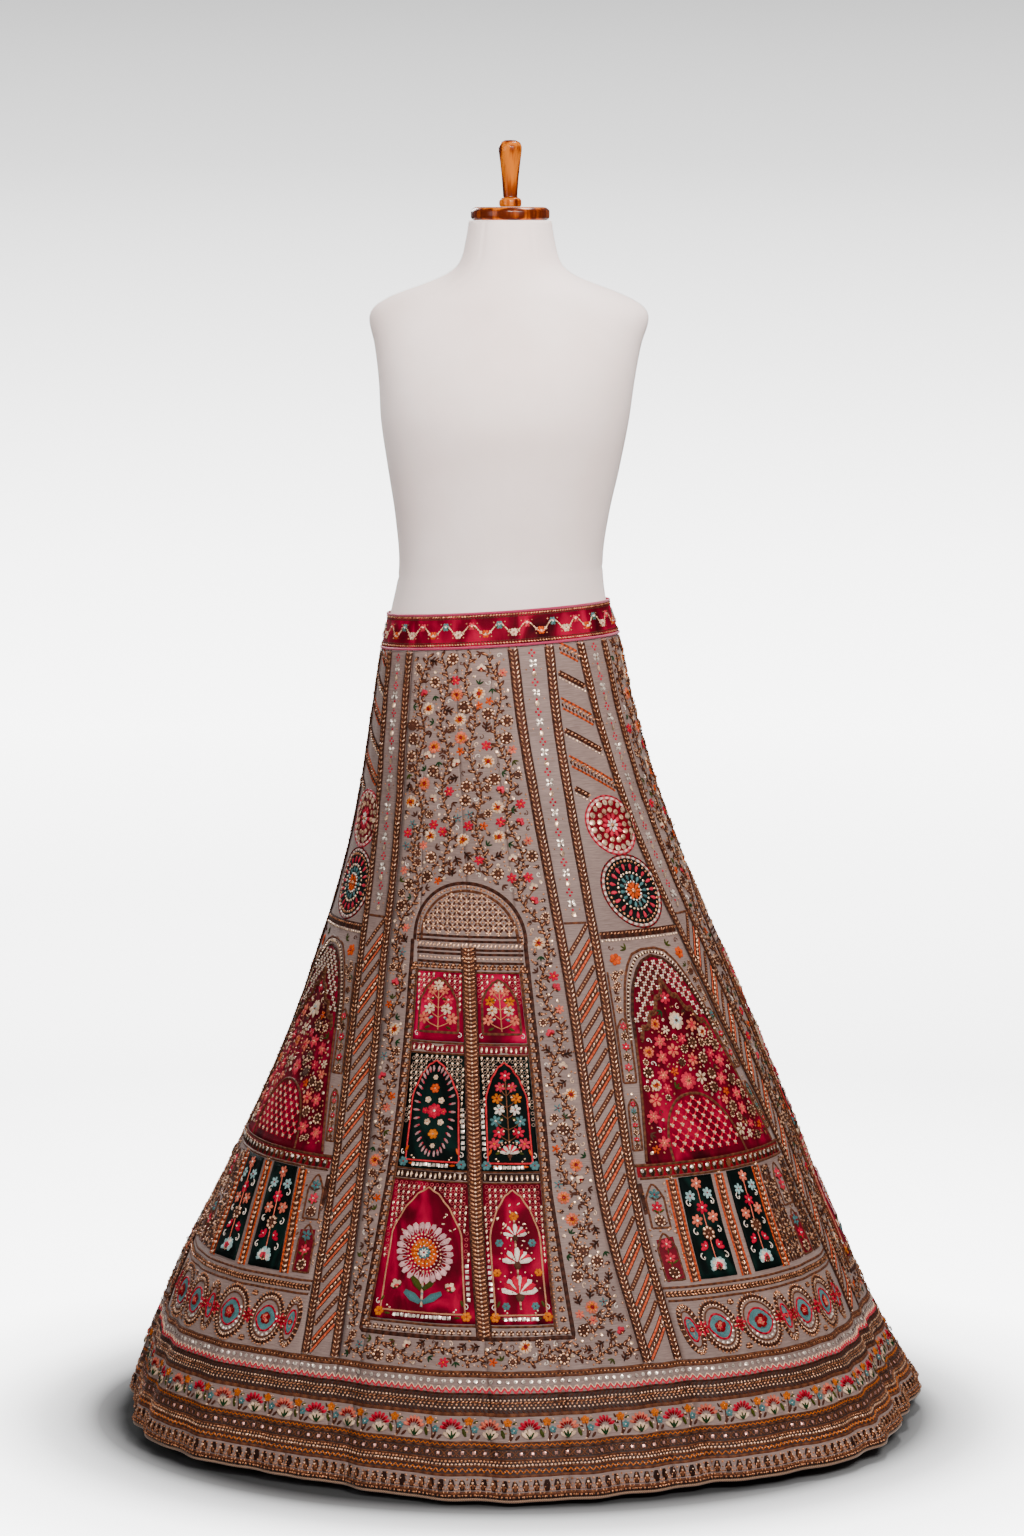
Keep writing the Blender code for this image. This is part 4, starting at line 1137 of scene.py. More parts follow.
def jaal_motif(ground, d, z, kind, radius, draw):
    """One of the small flowers, leaves or curls that fill a ground."""
    turn = draw.uniform(0.0, 2.0 * math.pi)
    if kind == "marigold":
        blossom(ground, d, z, radius, 10, (CREAM, SALMON)[draw.integers(2)], CRIMSON, turn, 0.6)
        blossom(ground.above(0.0006), d, z, radius * 0.74, 8, AMBER, CRIMSON, turn, 0.7)
        blossom(ground.above(0.0012), d, z, radius * 0.36, 6, CRIMSON, WHITE, turn, 0.8)
    elif kind == "tulip":
        tulip(ground, d, z, radius, CRIMSON, (CREAM, ROSE)[draw.integers(2)], UP + draw.uniform(-0.8, 0.8))
    elif kind in SIMPLE_FLOWERS:
        petals, tone, heart, wide = SIMPLE_FLOWERS[kind]
        blossom(ground, d, z, radius, petals, tone, heart, turn, wide)
        if radius > 0.008:
            blossom(ground.above(0.0004), d, z, radius * 0.6, petals, heart, GOLD, turn + 0.4, wide)
    elif kind == "gilt":
        gilt_rosette(ground, d, z, radius)
    elif kind == "leaves":
        leaf_spray(ground, d, z, radius, (OLIVE, GREEN, BROWN)[draw.integers(3)], turn)
    elif kind == "sprig":
        ahead = radius * np.array((math.cos(turn), math.sin(turn)))
        for share, lean in ((-0.9, 0.0), (-0.5, 0.9), (-0.5, -0.9), (0.0, 0.8), (0.0, -0.8)):
            length, tone = (1.9, DARK_BROWN) if lean == 0.0 else (0.95, BROWN)
            ground.floss("leaf", *ahead * share + (d, z), radius * length, radius * 0.36, radius * 0.18, tone,
                         turn + lean)
        for share in (0.35, 0.75, 1.1):
            ground.bead(*ahead * share + (d, z), 0.0026, 0.0014, GOLD)
    elif kind == "curl":
        hand = (-1, 1)[draw.integers(2)]
        curl(ground, d, z, radius * 0.8, hand, (CREAM, WHITE, BROWN)[draw.integers(3)], turn)
    elif kind == "ring":
        ground.beads("sequin", d, z, radius * 1.5, radius * 1.5, radius * 0.24, CREAM)
        ground.bead(d, z, radius * 0.51, radius * 0.45, OLD_GOLD)
    else:
        ground.bead(d, z, radius * 1.5, radius * 0.7, GOLD)


def twig(ground, d, z, radius, stems, draw):
    """A short curved branch that ties a motif to the nearest stem below it."""
    away = np.hypot(stems[:, 0] - d, stems[:, 1] - z + radius)
    root = stems[away.argmin()]
    if not radius < away.min() < 0.03:
        return
    bow = np.array((z - root[1], root[0] - d)) * draw.uniform(-0.35, 0.35)
    t = np.linspace(0.0, 1.0, 6)[:, None]
    path = root * (1 - t) ** 2 + 2 * t * (1 - t) * ((root + (d, z)) / 2 + bow) + np.array((d, z)) * t**2
    ground.braid(path, 0.0014, BROWN, OLD_GOLD, 0.0007, 0.004)
    ahead = math.atan2(z - root[1], d - root[0])
    ground.floss("leaf", *path[2], 0.0062, 0.0027, 0.001, BROWN, ahead + np.array((-0.9, 0.9)))
    ground.bead(*path[3], 0.0022, 0.0014, GOLD)


def scatter(ground, inside, box, kinds, draw, taken, stems=None):
    """Fill a ground with motifs that keep clear of one another, largest first."""
    taken = list(taken)
    for kind, radius, tries in kinds:
        d, z = draw.uniform(box[0], box[1], tries), draw.uniform(box[2], box[3], tries)
        free = inside(d, z, radius)
        for at_d, at_z in zip(d[free], z[free]):
            if taken:
                spots = np.array(taken)
                away = np.hypot(spots[:, 0] - at_d, spots[:, 1] - at_z)
                if (away < (spots[:, 2] + radius) * 0.93).any():
                    continue
            taken.append((at_d, at_z, radius))
            if stems is not None and radius > 0.005:
                twig(ground, at_d, at_z, radius, stems, draw)
            jaal_motif(ground.above(0.0003), at_d, at_z, kind, radius, draw)


def vine(ground, path):
    """A couched stem with gold beads on it and leaves on alternate sides; returns what it covers."""
    ground.braid(path, 0.0029, BROWN, DARK_BROWN, 0.001, 0.0045)
    ground.above(0.0009).line(path, 0.0052, 0.0023, GOLD)
    d, z, ahead = along(ground.place, path, 0.0085)
    side = np.where(np.arange(len(d)) % 2 == 0, 1.0, -1.0)
    ground.floss("leaf", d, z, 0.0098, 0.0044, 0.0012, BROWN, ahead + side * 0.85)
    ground.beads("leaf", d, z, 0.0064, 0.0018, 0.002, GOLD, ahead + side * 0.85)
    away = ahead - side * 1.3
    ground.bead(d + 0.0042 * np.cos(away), z + 0.0042 * np.sin(away), 0.0027, 0.0014, PALE_GOLD)
    return [(a, b, 0.0024) for a, b in zip(d, z)]


def net(ground, box, keep, pitch, tone, width):
    """Two crossing sets of couched lines, kept inside a shape; returns the middles of the meshes."""
    left, right, low, high = box
    count = int(((right - left) + (high - low)) / pitch)
    starts = np.arange(-count, count + 1) * pitch
    t = np.linspace(0.0, high - low, 26)
    for hand in (1, -1):
        for start in starts:
            d = (left + right) / 2 + start + hand * (t - (high - low) / 2)
            run = inside_run(run_of(d, low + t), keep(d, low + t))
            if len(run) > 2:
                ground.braid(run, width, tone, None, 0.0004, 0.009)
    count = int((high - low) / pitch)
    across, up = np.meshgrid(starts, np.arange(-count, count + 1) * pitch / 2)
    d, z = ((left + right) / 2 + across + up).ravel(), ((low + high) / 2 + up).ravel()
    kept = keep(d, z)
    return d[kept], z[kept]


def arch_height(x, low, high, cusps=0.0):
    """Height of a pointed arch at a share of its half width."""
    x = np.minimum(np.abs(x), 1.0)
    scallop = cusps * np.abs(np.sin(x * math.pi * 3.0)) * (x < 0.99)
    return low + (high - low) * (1.0 - x**1.55) ** 0.72 - scallop


def plant(ground, middle, low, high, reach, tones, stem):
    """A flowering plant: one stem and pairs of branches that end in blossoms."""
    z = np.linspace(low, high - 0.004, 8)
    ground.braid(run_of(middle(z), z), 0.0014, stem)
    levels = max(3, round((high - low) / 0.0165))
    for level in range(levels):
        share = level / levels
        at = low + (high - low) * (0.12 + 0.76 * share)
        root = middle(at)
        out = reach * (0.92 - 0.5 * share) * (0.72 if level % 2 else 1.0)
        size = min(0.008, reach * 0.42) * (1.0 - 0.2 * share)
        for side in (-1, 1):
            tip = root + side * out
            ground.braid([(root, at - 0.004), (root + side * out * 0.6, at), (tip, at + 0.006)], 0.0011, stem,
                         None, 0.0006, 0.004)
            blossom(ground, tip, at + 0.006, size, 6, *tones[level % len(tones)], 0.3 * side, 0.5)
            ground.floss("leaf", tip - side * out * 0.45, at - 0.003, 0.008, 0.0034, 0.0011,
                         (OLIVE, TEAL, OLD_GOLD)[level % 3], UP - side * 2.0)
            ground.bead(tip - side * out * 0.5, at + 0.0075, 0.003, 0.0014, PALE_GOLD)
    top = high - 0.006
    blossom(ground, middle(top), top, min(0.0072, reach * 0.4), 6, *tones[levels % len(tones)], 0.5, 0.5)


def medallion(ground, middle, centre, reach, tall):
    """An almond of feathery leaves round a large flower."""
    turns = np.linspace(0.0, 2.0 * math.pi, 34, endpoint=False)
    narrow = reach * np.abs(np.cos(turns)) ** 0.8 * np.sign(np.cos(turns))
    z = centre + tall * np.sin(turns)
    lean = np.arctan2(tall * np.sin(turns) * 0.7, narrow * 1.2)
    for share, tone, size in ((1.0, dye(190, 140, 140), 0.0088), (0.956, ROSE, 0.0056)):
        ground.floss("leaf", middle(z) + narrow * share, z, size, size * 0.36, 0.0011, tone, lean)
    for up, size, tone, inner, heart, petals in (
            (0.0, 0.0098, PINK, ROSE, WHITE, 8), (0.58, 0.0062, ORANGE, ORANGE, PALE_GOLD, 6),
            (-0.58, 0.0066, MUSTARD, MUSTARD, WHITE, 6), (0.86, 0.0034, CREAM, CREAM, CRIMSON, 6),
            (-0.88, 0.0034, CREAM, CREAM, CRIMSON, 6)):
        at = centre + tall * up
        layered_blossom(ground, middle(at), at, size, tone, inner, heart, petals)
    for side in (-1, 1):
        for up, out, tone in ((0.0, 0.62, PINK), (0.28, 0.45, CREAM), (-0.28, 0.45, CREAM)):
            at = centre + tall * up
            blossom(ground, middle(at) + side * reach * out, at, 0.0042, 5, tone, MUSTARD, 0.0, 0.8)


def feather_rosette(ground, d, z, radius):
    """A great round flower: feathered pink rim, ring of pale beads, a disc of orange stitches and beads."""
    rim_d, rim_z, turns = round_spots(d, z, radius * 0.6, 26)
    ground.floss("petal", rim_d, rim_z, radius * 0.42, radius * 0.2, 0.0014, dye(236, 176, 176), turns)
    ground.floss("petal", rim_d, rim_z, radius * 0.26, radius * 0.1, 0.0022, CRIMSON, turns)
    ground.bead(*round_spots(d, z, radius * 0.57, 30)[:2], 0.0028, 0.0014, PALE_GOLD)
    for share, count, tone in ((0.46, 20, ORANGE), (0.34, 15, MUSTARD), (0.22, 10, ORANGE)):
        rim_d, rim_z, turns = round_spots(d, z, radius * share * 0.6, count, share)
        ground.floss("petal", rim_d, rim_z, radius * 0.22, radius * 0.13, 0.0016, tone, turns)
        ground.bead(*round_spots(d, z, radius * share, count, share)[:2], 0.0023, 0.0024, WHITE)
    layered_blossom(ground.above(0.001), d, z, radius * 0.24, TEAL, WHITE, CRIMSON)


def fan_tier(ground, d, z, reach):
    """A half-round fan of pink and white petals over a gilt cup."""
    leans = np.linspace(-1.35, 1.35, 9)
    for k, lean in enumerate(leans):
        ground.floss("petal", d, z, reach, reach * 0.34, 0.0014, (WHITE, PINK)[k % 2], UP + lean)
    rim = reach * 1.08
    ground.bead(d + rim * np.sin(leans), z + rim * np.cos(leans), 0.0022, 0.0011, PALE_GOLD)
    leans, rim = np.linspace(-1.4, 1.4, 7), reach * 0.36
    ground.bead(d + rim * np.sin(leans), z + rim * np.cos(leans), 0.0026, 0.0026, OLD_GOLD)
    ground.floss("leaf", d, z - reach * 0.42, reach * 0.6, reach * 0.5, 0.0016, BROWN, UP)


def window_work(panel, side, colour, low, high):
    """The arch, the net in its corners, the sequins at its foot and the flowers in one window."""
    ground = Ground(panel, VELVET_TOP)
    spring, cord, margin, fine = WINDOW_ARCHES[colour]
    pink, green, crimson = colour == "pink", colour == "green", colour == "crimson"
    foot, crown = low + 0.01, high - 0.006
    x = np.linspace(-1.0, 1.0, 41)
    share = np.concatenate([[-1.0], x, [1.0, -1.0]])
    z = np.concatenate([[foot], arch_height(x, spring, crown, 0.0022), [foot, foot]])
    ground.braid(run_of(in_window(side, margin * share, z), z), 0.003 if pink else 0.002, cord,
                 OLD_GOLD if pink else None, 0.0008, 0.004)
    # Net of beads above the arch and down both sides.
    pitch = 0.0066
    for number, z in enumerate(np.arange(low + 0.004, high - 0.002, pitch * 0.5)):
        share = (np.arange(-8, 9) + number % 2 * 0.5) * pitch / window_reach(side, z)
        share = share[np.abs(share) < 0.95]
        above = z > arch_height(share / margin, spring, crown, 0.0022) + 0.003
        above |= (np.abs(share) > margin + 0.06) & (z > spring - (0.015 if pink else 0.03))
        if not above.any():
            continue
        d = in_window(side, share[above], z)
        if number % 2:
            ground.floss("loop", d, z, pitch * 0.72, pitch * 0.72, 0.0005, fine)
        else:
            ground.beads("leaf", d, z - 0.002, 0.0044, 0.003, 0.0014, CREAM, UP)
            ground.bead(d, z - 0.0022, 0.0015, 0.0012, CREAM)
    # Square sequins at the foot and the lower sides, and a flower in each lower corner.
    if not pink:
        share = np.arange(-0.52, 0.53, 0.0052 / window_reach(side, foot))
        z = low + 0.0055
        ground.beads("square", in_window(side, share, z), z, 0.006, 0.006, 0.0008, WHITE, math.pi / 4)
        z = np.arange(low + 0.026, spring - (0.03 if crimson else 0.012), 0.0062)
        d = in_window(side, -side * 0.905, z)
        ground.beads("square", d, z, 0.0058, 0.0058, 0.0008, WHITE, math.pi / 4)
    for corner in (-1, 1):
        d = in_window(side, corner * 0.84, low + 0.008)
        if pink:
            curl(ground, d, low + 0.007, 0.0034, -corner, WHITE, UP)
            continue
        blossom(ground, d, low + 0.0075, 0.0064, 6, MUSTARD if crimson else TEAL, CRIMSON, 0.0, 0.7)
        curl(ground, d, low + 0.018, 0.0036, -corner, WHITE, UP)
        tone = ORANGE if green else OLIVE
        ground.floss("leaf", d - corner * 0.003, low + 0.0185, 0.009, 0.0034, 0.0012, tone,
                     UP + corner * 0.35)
        ground.floss("leaf", d - corner * 0.007, low + 0.0062, 0.008, 0.003, 0.0012, tone,
                     math.pi if corner > 0 else 0.0)
        for shift in (0.0, 0.0026):
            ground.bead(d - corner * (0.0115 + shift), low + 0.015 - shift, 0.0026, 0.0013, CREAM)

    def middle(z):
        return window_middle(side, z)

    reach = window_reach(side, (low + high) / 2) * margin
    if pink:
        tones = (((SALMON, CRIMSON), (CREAM, MUSTARD), (MUSTARD, CRIMSON)) if side > 0
                 else ((SALMON, CRIMSON), (CREAM, GOLD), (ROSE, CREAM)))
        plant(ground, middle, foot + 0.003, high - 0.009, reach * 0.8, tones, GOLD)
    elif green and side < 0:
        medallion(ground, middle, (low + high) / 2 + 0.001, reach * 0.62, (high - low) * 0.34)
    elif green:
        tones = ((ROSE, MUSTARD), (PINK, WHITE), (TEAL, WHITE), (WHITE, CRIMSON), (MUSTARD, CRIMSON))
        plant(ground, middle, foot + 0.004, high - 0.016, reach * 0.78, tones, OLD_GOLD)
        fan_tier(ground, middle(foot + 0.011), foot + 0.011, 0.0125)
    elif side < 0:
        for hand in (-1, 1):
            for start, length, lean, tone in ((0.02, 0.03, 1.05, TEAL), (0.034, 0.024, 0.75, OLIVE)):
                ground.floss("leaf", middle(low + start), low + start, length, length * 0.36, 0.0016, tone,
                             UP + hand * lean)
            d = middle(low + 0.034) + hand * 0.032
            tulip(ground, d, low + 0.036, 0.0095, PINK, CREAM, UP - hand * 0.5)
        z = low + np.array((0.016, 0.03, 0.056))
        ground.braid(run_of(middle(z), z), 0.003, TEAL, PALE_GOLD, 0.001, 0.004)
        feather_rosette(ground, middle(low + 0.076), low + 0.076, 0.036)
    else:
        z = low + np.array((0.016, 0.05, 0.116))
        ground.braid(run_of(middle(z), z), 0.0022, PALE_GOLD, BROWN, 0.0009, 0.004)
        for up, size in ((0.034, 0.023), (0.068, 0.019), (0.098, 0.015)):
            fan_tier(ground, middle(low + up), low + up, size)
        for hand in (-1, 1):
            for up, out, tone in ((0.02, 0.017, TEAL), (0.057, 0.024, MUSTARD), (0.09, 0.019, TEAL)):
                blossom(ground, middle(low + up) + hand * out, low + up, 0.0052, 6, tone, CRIMSON, 0.0, 0.7)
        blossom(ground, middle(low + 0.122), low + 0.12, 0.006, 6, MUSTARD, CRIMSON, 0.0, 0.7)
    if crimson:
        draw = np.random.default_rng(29 + panel + side)
        share = draw.uniform(-0.7, 0.7, 14)
        z = draw.uniform(spring - 0.01, high - 0.022, 14)
        keep = z < arch_height(share / margin, spring, crown) - 0.01
        ground.beads("leaf", in_window(side, share, z)[keep], z[keep], 0.0046, 0.0022, 0.0011, CREAM,
                     draw.uniform(0.0, 6.0, keep.sum()))


def dome_inside(d, z, shrink=0.0):
    across, up = d / (ARCH_REACH - shrink), (z - ARCH_SPRING) / (DOME_RISE - shrink)
    return (z > ARCH_SPRING) & (across**2 + up**2 < 1.0)


def window_panel_work(panel):
    ground = Ground(panel)
    z = np.linspace(LADDER_LOW, LADDER_HIGH, 30)
    ground.braid(run_of(0.0, z), 0.0172, BROWN, None, 0.0003, 0.01)
    for side in (-1, 1):
        ground.braid(run_of(side * 0.0084, z), 0.0024, DARK_BROWN, BROWN, 0.0012, 0.005)
    rungs = np.arange(LADDER_LOW + 0.003, LADDER_HIGH - 0.002, 0.0047)
    ground.beads("bead", 0.0, rungs, 0.0034, 0.003, 0.0016, PALE_GOLD)
    for side in (-1, 1):
        ground.beads("dash", side * 0.004, rungs + 0.0009, 0.0058, 0.0025, 0.0013, GOLD, side * 0.5)
        ground.bead(side * 0.0069, rungs - 0.001, 0.0021, 0.001, OLD_GOLD)
    # Frame, the beads between it and the windows, and cream fringes between one window and the next.
    rise = np.linspace(LADDER_LOW, ARCH_SPRING + 0.001, 26)
    frame = [run_of(frame_line(-1, rise), rise)[::-1], run_of(frame_line(1, rise), rise)]
    ground.braid(np.concatenate(frame), 0.0052, BROWN, DARK_BROWN, 0.0014, 0.005)
    for side in (-1, 1):
        z = np.linspace(0.196, 0.604, 24)
        edge = side * (window_seam(side, z) - WINDOW_MARGIN + 0.0016)
        ground.braid(run_of(edge, z), 0.0026, BROWN, OLD_GOLD, 0.0026, 0.005)
        ground.line(run_of(edge + side * 0.0026, z), 0.0044, 0.0023, GOLD)
        triplets(ground, run_of((edge + frame_line(side, z)) / 2 + side * 0.001, z), 0.0125, GOLD)
        foot = frame_line(side, 0.19) * np.array((0.12, 0.5, 0.93))
        triplets(ground, run_of(foot, 0.1935), 0.0098, PALE_GOLD)
        ground.braid(level_run(side * 0.0095, edge[0], 0.2005), 0.0028, BROWN, OLD_GOLD, 0.0024, 0.005)
        crown = frame_line(side, 0.607) - side * 0.006
        triplets(ground, level_run(side * 0.011, crown, 0.6075), 0.0088, GOLD)
        ground.braid(level_run(side * 0.0095, edge[-1], 0.6015), 0.0024, BROWN, OLD_GOLD, 0.0024, 0.005)
        for low, tone in ((0.36, DARK_BROWN), (0.5055, dye(120, 20, 36))):
            left, right = in_window(side, -1.0, low), in_window(side, 1.0, low)
            for up in (0.0, 0.0125):
                ground.braid(level_run(left, right, low + up), 0.0024, BROWN, OLD_GOLD, 0.0024, 0.005)
            count = int((right - left) / 0.0058)
            drops = left + (np.arange(count) + 0.5) * (right - left) / count
            ground.braid(level_run(left, right, low + 0.0063), 0.0104, tone, None, 0.0004, 0.02)
            ground.above(0.0006).beads("leaf", drops, low + 0.0022, 0.0082, 0.0029, 0.0015, CREAM, UP)
        for colour, low, high in WINDOWS:
            window_work(panel, side, colour, low, high)
    turns = np.linspace(0.0, math.pi, 40)

    def dome(shrink):
        reach, rise = ARCH_REACH - shrink, DOME_RISE - shrink
        return run_of(reach * np.cos(turns), ARCH_SPRING + rise * np.sin(turns))

    def in_dome(d, z):
        return dome_inside(d, z, 0.0105) & (z > 0.6445)

    # Dome with its lattice, over rows of braid and beads.
    ground.braid(dome(0.0), 0.0044, BROWN, DARK_BROWN, 0.0011, 0.005)
    ground.braid(dome(0.009), 0.0036, BROWN, OLD_GOLD, 0.0011, 0.005)
    ground.line(dome(0.0043), 0.0044, 0.0031, GOLD)
    for z in (0.6125, 0.6225, 0.6275, 0.6375, 0.643):
        ground.braid(level_run(-0.0655, 0.0655, z), 0.0032, BROWN, DARK_BROWN, 0.0011, 0.005)
    d = np.arange(-0.0625, 0.063, 0.005)
    ground.beads("bead", d, 0.6175, 0.0034, 0.003, 0.0014, PALE_GOLD)
    ground.beads("dash", d, 0.6325, 0.0062, 0.003, 0.0014, PALE_GOLD, 1.2)
    d, z = net(ground, (-0.06, 0.06, 0.6445, 0.7), in_dome, 0.0124, BROWN, 0.0028)
    for k in range(4):
        ground.beads("petal", d, z, 0.0036, 0.0023, 0.0013, PALE_GOLD, k * UP)
    ground.bead(d, z + 0.0062, 0.003, 0.0022, GOLD)

    def inside(d, z, margin):
        away = 0.0035 + margin
        beside = np.where(d > 0, d > frame_line(1, z) + away, d < frame_line(-1, z) - away)
        over = (z > ARCH_SPRING) & ~dome_inside(d, z, -0.004 - margin)
        limit = np.where(d > 0, panel_half(panel, 1, z), panel_half(panel, -1, z)) - 0.002 - margin
        free = (z < LADDER_LOW - margin) | ((z < 0.64) & beside) | over
        return free & (np.abs(d) < limit) & (z > 0.1525 + margin) & (z < PANEL_TOP - margin)

    # Vines, then the flowers between them.
    taken = []
    for side in (-1, 1):
        z = np.linspace(0.19, 0.984, 60)
        half = panel_half(panel, side, z)
        over = 0.0735 * np.clip((0.715 - z) / 0.055, 0.0, 1.0) ** 0.5
        inner = np.where(z < 0.66, side * frame_line(side, z), over)
        free = np.clip((z - 0.66) / 0.08, 0.0, 1.0)
        middle = (inner + half) / 2 * (1 - free) + half * 0.7 * free
        sway = np.maximum(half - inner - 0.01, 0.006) * 0.3 * (1 - free) + 0.006 * free
        taken += vine(ground, run_of(side * (middle + sway * np.sin(z * 62.0)), z))
        z = np.linspace(0.716, 0.984, 30)
        middle = panel_half(panel, side, z) * 0.24
        taken += vine(ground, run_of(side * (middle + 0.005 * np.sin(z * 70.0 + 1.0)), z))
    d = np.linspace(0.006 - panel_half(panel, -1, 0.17), panel_half(panel, 1, 0.17) - 0.006, 80)
    taken += vine(ground, run_of(d, 0.1685 + 0.0075 * np.sin(d * 88.0)))
    widest = max(panel_half(panel, -1, 0.16), panel_half(panel, 1, 0.16))
    kinds = (("marigold", 0.0086, 420), ("gilt", 0.0078, 600), ("tulip", 0.008, 600), ("pink", 0.0068, 500),
             ("star", 0.006, 300), ("sprig", 0.0078, 3600), ("peach", 0.006, 500), ("orange", 0.0056, 500),
             ("gilt", 0.0054, 1200), ("leaves", 0.005, 3600), ("curl", 0.0044, 4500), ("sprig", 0.004, 7000),
             ("ring", 0.0029, 3400), ("dot", 0.0018, 9000))
    scatter(ground, inside, (-widest, widest, 0.152, 0.99), kinds, np.random.default_rng(100 + panel), taken,
            np.array(taken)[:, :2])


for panel in (0, 2, 4):
    window_panel_work(panel)

# ---- Waistband embroidery -----------------------------------------------------------------------------
# A wavy stem of gold beads runs round the velvet band, with leaves and small flowers in its hollows,
# between two rows of couched gold. Distances along the band are directions, in radians.
BAND_FACE = 0.002
BAND_MIDDLE = (BAND_BOTTOM + BAND_TOP) / 2
BAND_REACH = 0.128
BAND_ENDS = (0.02 - math.pi, math.pi - 0.02)
WAVES = 26
WAVE_RISE = 0.0062


def band_frames(turn, z):
    """Points of the band's middle line, with the directions across, up and out of it."""
    step = 0.003
    across = unit(band_point(turn + step, z, 0.0) - band_point(turn - step, z, 0.0))
    up = unit(band_point(turn, z + step, 0.0) - band_point(turn, z - step, 0.0))
    return band_point(turn, z, 0.0), across, up, np.cross(across, up)


waist = Ground(12, BAND_FACE, "waistband")
turns = np.linspace(*BAND_ENDS, 400)
lean = np.arctan2(WAVE_RISE * WAVES * np.cos(turns * WAVES), BAND_REACH)
z = BAND_MIDDLE + WAVE_RISE * np.sin(turns * WAVES)
waist.beads("leaf", turns, z, 0.0038, 0.0019, 0.0012, PALE_GOLD, lean)
turns = np.linspace(*BAND_ENDS, 240)
for side in (-1, 1):
    waist.beads("dash", turns, BAND_MIDDLE + side * 0.0172, 0.0036, 0.0022, 0.0012, GOLD, side * 0.5)
    waist.floss("dash", turns, BAND_MIDDLE + side * 0.0146, 0.0038, 0.0016, 0.0009, BROWN)
for k in range(WAVES * 2):
    turn = (k + 0.5) * math.pi / WAVES - math.pi
    side = 1.0 if k % 2 else -1.0
    z = BAND_MIDDLE - side * 0.005
    petal, heart = ((ROSE, CREAM), (CREAM, CRIMSON), (TEAL, WHITE), (ORANGE, WHITE))[k * 3 % 4]
    waist.floss("petal", turn, z, 0.0054, 0.0036, 0.0012, petal, np.arange(6) * math.pi / 3)
    waist.bead(turn, z, 0.0026, 0.002, heart)
    for hand in (-1, 1):
        waist.floss("leaf", turn + hand * 0.03, z + side * 0.004, 0.0052, 0.0022, 0.001,
                    (OLIVE, PALE_GOLD)[k % 2], hand * 0.7 - side * UP)
        waist.bead(turn + hand * 0.048, z - side * 0.0034, 0.002, 0.0012, GOLD)

# ---- Arch panel embroidery ----------------------------------------------------------------------------
# Slanting braids run down from the waist to two round appliques, worked here as beaded rosettes. Below
# them a net of cream stars hangs over a cusped arch full of flowers, then come a small arch with a pink
# net, two tall windows between orange cords, side niches, and a row of beaded eyes above the hem border.
DIAGONALS_LOW = 0.805
ARCH_FRAME_TOP = 0.64
STAR_PITCH = 0.0118
PALE_TEAL = dye(170, 206, 204)


def rim(d, z, radius, count=36, stretch=1.0, pointed=0.0):
    turns = np.linspace(0.0, 2.0 * math.pi, count + 1)
    across = radius * np.cos(turns) * (1.0 + pointed * np.cos(turns) ** 8)
    return run_of(d + across, z + radius * stretch * np.sin(turns))


def beaded_rosette(ground, d, z, radius, base, edge, rings):
    """A filled round, couched ring by ring so that it follows the cloth, with rings of work over it."""
    for inner in np.arange(radius - 0.0024, 0.001, -0.0044):
        ground.braid(rim(d, z, inner, 20), 0.0052, base, None, 0.0003, min(0.011, inner))
    ground.braid(rim(d, z, radius), 0.003, edge, WHITE, 0.0014, 0.004)
    ground.braid(rim(d, z, radius + 0.0028), 0.0022, base, edge, 0.0014, 0.004)
    over = ground.above(0.0004)
    for kind, share, count, size, tone in rings:
        at_d, at_z, turns = round_spots(d, z, radius * share, count)
        if kind == "petal":
            over.floss("petal", at_d, at_z, size, size * 0.46, 0.0014, tone, turns)
        elif kind == "sequin":
            over.beads("sequin", at_d, at_z, size, size, 0.0012, tone)
            over.bead(at_d, at_z, size * 0.3, 0.0018, OLD_GOLD)
        else:
            over.bead(at_d, at_z, size, size * 0.5, tone)


def slanting_braids(ground):
    """Brown braids with a row of beads, and pairs of orange cords with a leaf chain, by turns."""
    for number, start in enumerate(np.arange(0.8, 1.06, 0.0365)):
        d = np.linspace(-0.06, 0.06, 40)
        z = start - 0.62 * d
        keep = (d > 0.002 - panel_half(ground.place, -1, z)) & (d < panel_half(ground.place, 1, z) - 0.002)
        run = inside_run(run_of(d, z), keep & (z < PANEL_TOP - 0.003) & (z > DIAGONALS_LOW))
        if len(run) < 3:
            continue
        if number % 2:
            for shift in (-0.0062, 0.0062):
                ground.braid(run + (0.0, shift), 0.003, ORANGE, BROWN, 0.0011, 0.003)
            ground.line(run, 0.0052, 0.0058, GOLD, "leaf", 0.5, 0.7)
            ground.line(run, 0.0052, 0.0052, BROWN, "leaf", 0.5, -0.7, "floss")
        else:
            ground.braid(run + (0.0, 0.002), 0.0075, BROWN, DARK_BROWN, 0.0009, 0.005)
            ground.above(0.0007).line(run + (0.0, 0.0022), 0.005, 0.004, GOLD, "dash", 0.6, 0.6)
            ground.line(run + (0.0, -0.0042), 0.0048, 0.0036, CREAM, "bead", 0.8)


def cusped_arch(panel, d):
    """Height of the cusped arch over a distance from the panel's middle."""
    left, right = arch_edge(panel, 0.53)
    x = np.minimum(np.abs((d - 0.001 - (left + right) / 2) / ((right - left) / 2 - 0.004)), 1.0)
    return 0.587 - 0.062 * x**0.85 - 0.008 * np.abs(np.sin(x * math.pi * 3.5))


